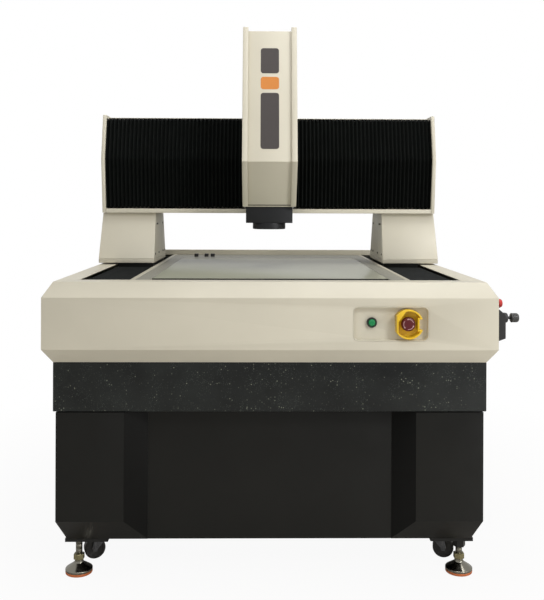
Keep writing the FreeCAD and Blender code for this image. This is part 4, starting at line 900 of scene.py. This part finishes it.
# %% [markdown]
# The joystick stands on a cast pod. Its side outline is drawn once and pushed along Y, a round room for the
# gimbal is cut with a Boolean modifier, and a turned collar closes the room, wide enough for the stick to
# tilt.

# %% Cast the pod
WALL = MIDDLE + 0.62
POD_SIDE = [(0, 0.656), (0.039, 0.671), (0.039, 0.737), (0.021, 0.752), (0, 0.752)]
POD_Y = (-0.601, -0.537)

pod = pushed("joystick_pod", [(WALL + x, z) for x, z in POD_SIDE], *POD_Y, finishes["black_plastic"])
JOYSTICK_SEAT = (WALL, AXIS_Y, AXIS_Z)
room = turned("gimbal_room", [(0, 0.016), (0.0145, 0.016), (0.0145, 0.05), (0, 0.05)], JOYSTICK_SEAT, RIGHT,
              finishes["black_plastic"], 0)
hollow = pod.modifiers.new("room", "BOOLEAN")
hollow.object = room
hollow.solver = "EXACT"
bevelled(pod, 0.0016)
bpy.data.objects.remove(room)
register(pod, "base", ["side_housings"])
collar = turned("joystick_collar", [
    (0.0109, 0.0502), (0.0136, 0.0502), (0.0136, 0.03), (0.0148, 0.03), (0.0142, 0.0465), (0.012, 0.052),
    (0.0109, 0.052), (0.0109, 0.0502)], JOYSTICK_SEAT, RIGHT, finishes["black_plastic"], 0.0003)
register(collar, "base")
button_collar = turned("side_button_collar", [
    (0.0065, 0.0008), (0.0065, 0.02), (0.0098, 0.02), (0.011, 0.0188), (0.011, 0.0002), (0.0065, 0.0002),
    (0.0065, 0.0008)], (WALL, AXIS_Y, 0.766), RIGHT, finishes["black_plastic"], 0.0003)
register(button_collar, "base")
stick = turned("joystick_stem", [(0, 0.028), (0.004, 0.028), (0.004, 0.071), (0, 0.071)], JOYSTICK_SEAT, RIGHT,
               finishes["black_plastic"], 0.0006)
register(stick, "joystick_stick", ["joystick_stick"])
print("pod:", len(pod.data.polygons), "faces")
print("controls: power button, emergency stop, joystick, side button")

# %% [markdown]
# ## Head
# The front cover carries plain printed bars, two dark and a short orange one between them, and a thin black
# strip above its lower lip that is a painted shadow of the gap there. Each is laid on the cover by casting
# rays at the solid, so it sits flat on it.
# Below, the ring light holds three rings of small lamps round the lens.

# %% Print the bars and set the ring of lamps


def tree_of(node):
    mesh = nodes[node].data
    return BVHTree.FromPolygons([v.co for v in mesh.vertices], [p.vertices for p in mesh.polygons])


cover_surface = tree_of("head_front_cover")
BAR_HALF = 0.03
BAR_CORNER = 0.009
PRINT_PROUD = 0.0004
PRINT_SUNK = 0.0002


def printed_bar(name, low, high, material, half=BAR_HALF, corner=BAR_CORNER):
    """A thin rounded rectangle, laid on the head's front cover."""
    front = []
    for quarter, (side, end) in enumerate(((1, high), (-1, high), (-1, low), (1, low))):
        middle_x = MIDDLE + side * (half - corner)
        middle_z = end + (-corner if end == high else corner)
        for step in range(7):
            angle = math.radians(90 * quarter + 15 * step)
            x, z = middle_x + corner * math.cos(angle), middle_z + corner * math.sin(angle)
            hit = cover_surface.ray_cast(Vector((x, -1, z)), Vector((0, 1, 0)))[0]
            front.append(hit - Vector((0, PRINT_PROUD, 0)))
    shell = bmesh.new()
    thickened(shell, front, (0, PRINT_PROUD + PRINT_SUNK, 0))
    return register(object_of(name, mesh_of(name, shell), material), "head")


printed_bar("dark_bar_high", 1.474, 1.56, mark_grey)
printed_bar("orange_bar", 1.42, 1.462, mark_orange)
printed_bar("dark_bar_low", 1.222, 1.408, mark_grey)
# Painted shadow: a thin black strip above the cover's lower lip, for the shadow in the gap there.
printed_bar("cover_lip_gap", 1.0405, 1.0432, finishes["black_paint"], 0.0835, 0.0006)

lamps, lit = new_tree("lamp_rings", {
    "Radius": "Float", "Count": "Int", "Size": "Float", "Material": "Material"})
dome = lamps.add("GeometryNodeMeshUVSphere", {}, {"Segments": 10, "Rings": 6, "Radius": lit["Size"]}, "Mesh")
circle = lamps.add("GeometryNodeMeshCircle", {}, {"Vertices": lit["Count"], "Radius": lit["Radius"]})
lamp_ring = lamps.add("GeometryNodeInstanceOnPoints", {}, {"Points": circle, "Instance": dome})
lamp_tree = end_tree(lamps, lamp_ring, lit["Material"])
LENS_AXIS = (MIDDLE, -0.095)
RING_FACE = 0.961
LENS_FACE = 0.972
for order, (radius, count) in enumerate(((0.036, 28), (0.0425, 34), (0.049, 40)), start=1):
    ring = object_of(f"ring_lamps_{order}", bpy.data.meshes.new(f"ring_lamps_{order}"))
    grown(ring, lamp_tree, Radius=radius, Count=count, Size=0.0019, Material=led_lens)
    plain_mesh(ring)
    ring.data.transform(Matrix.Translation((*LENS_AXIS, RING_FACE + 0.001)))
    register(ring, "optics")

ring_body = turned("ring_light_body", [
    (0.031, 0.021), (0.031, 0.0008), (0.0322, 0), (0.0335, 0.0012), (0.0515, 0.0012), (0.0535, 0),
    (0.0548, 0.0004), (0.0555, 0.0016), (0.0555, 0.021), (0.031, 0.021)],
    (*LENS_AXIS, RING_FACE), (0, 0, 1), finishes["black_metal"], 0.0003, 72)
register(ring_body, "optics", ["ring_light"])
BARREL = [(0, 0.004), (0.0165, 0.004), (0.0178, 0.001), (0.0195, 0), (0.0215, 0.0006), (0.022, 0.003),
          (0.022, 0.055), (0.0205, 0.057), (0.0205, 0.09), (0.022, 0.092), (0.022, 0.14), (0.0195, 0.143),
          (0.0195, 0.2), (0.022, 0.203),
          (0.022, 0.29), (0.019, 0.293), (0.019, 0.34), (0.0215, 0.343), (0.0215, 0.358), (0, 0.358)]
barrel = turned("zoom_barrel", BARREL, (*LENS_AXIS, LENS_FACE), (0, 0, 1), finishes["black_metal"], 0.0005)
register(barrel, "optics", ["zoom_lens"])
front_lens = turned("front_lens", [(0, 0.0021), (0.009, 0.0026), (0.0165, 0.0041), (0, 0.0045)],
                    (*LENS_AXIS, LENS_FACE), (0, 0, 1), front_lens_glass.material, 0)
register(front_lens, "optics")
ribbed("zoom_ring_knurl", 0.0205, 0.03, 0.0016, 48, (*LENS_AXIS, 1.0455), (0, 0, 1), "optics",
       finishes["black_metal"])
print("head: bars, ring light and lens")
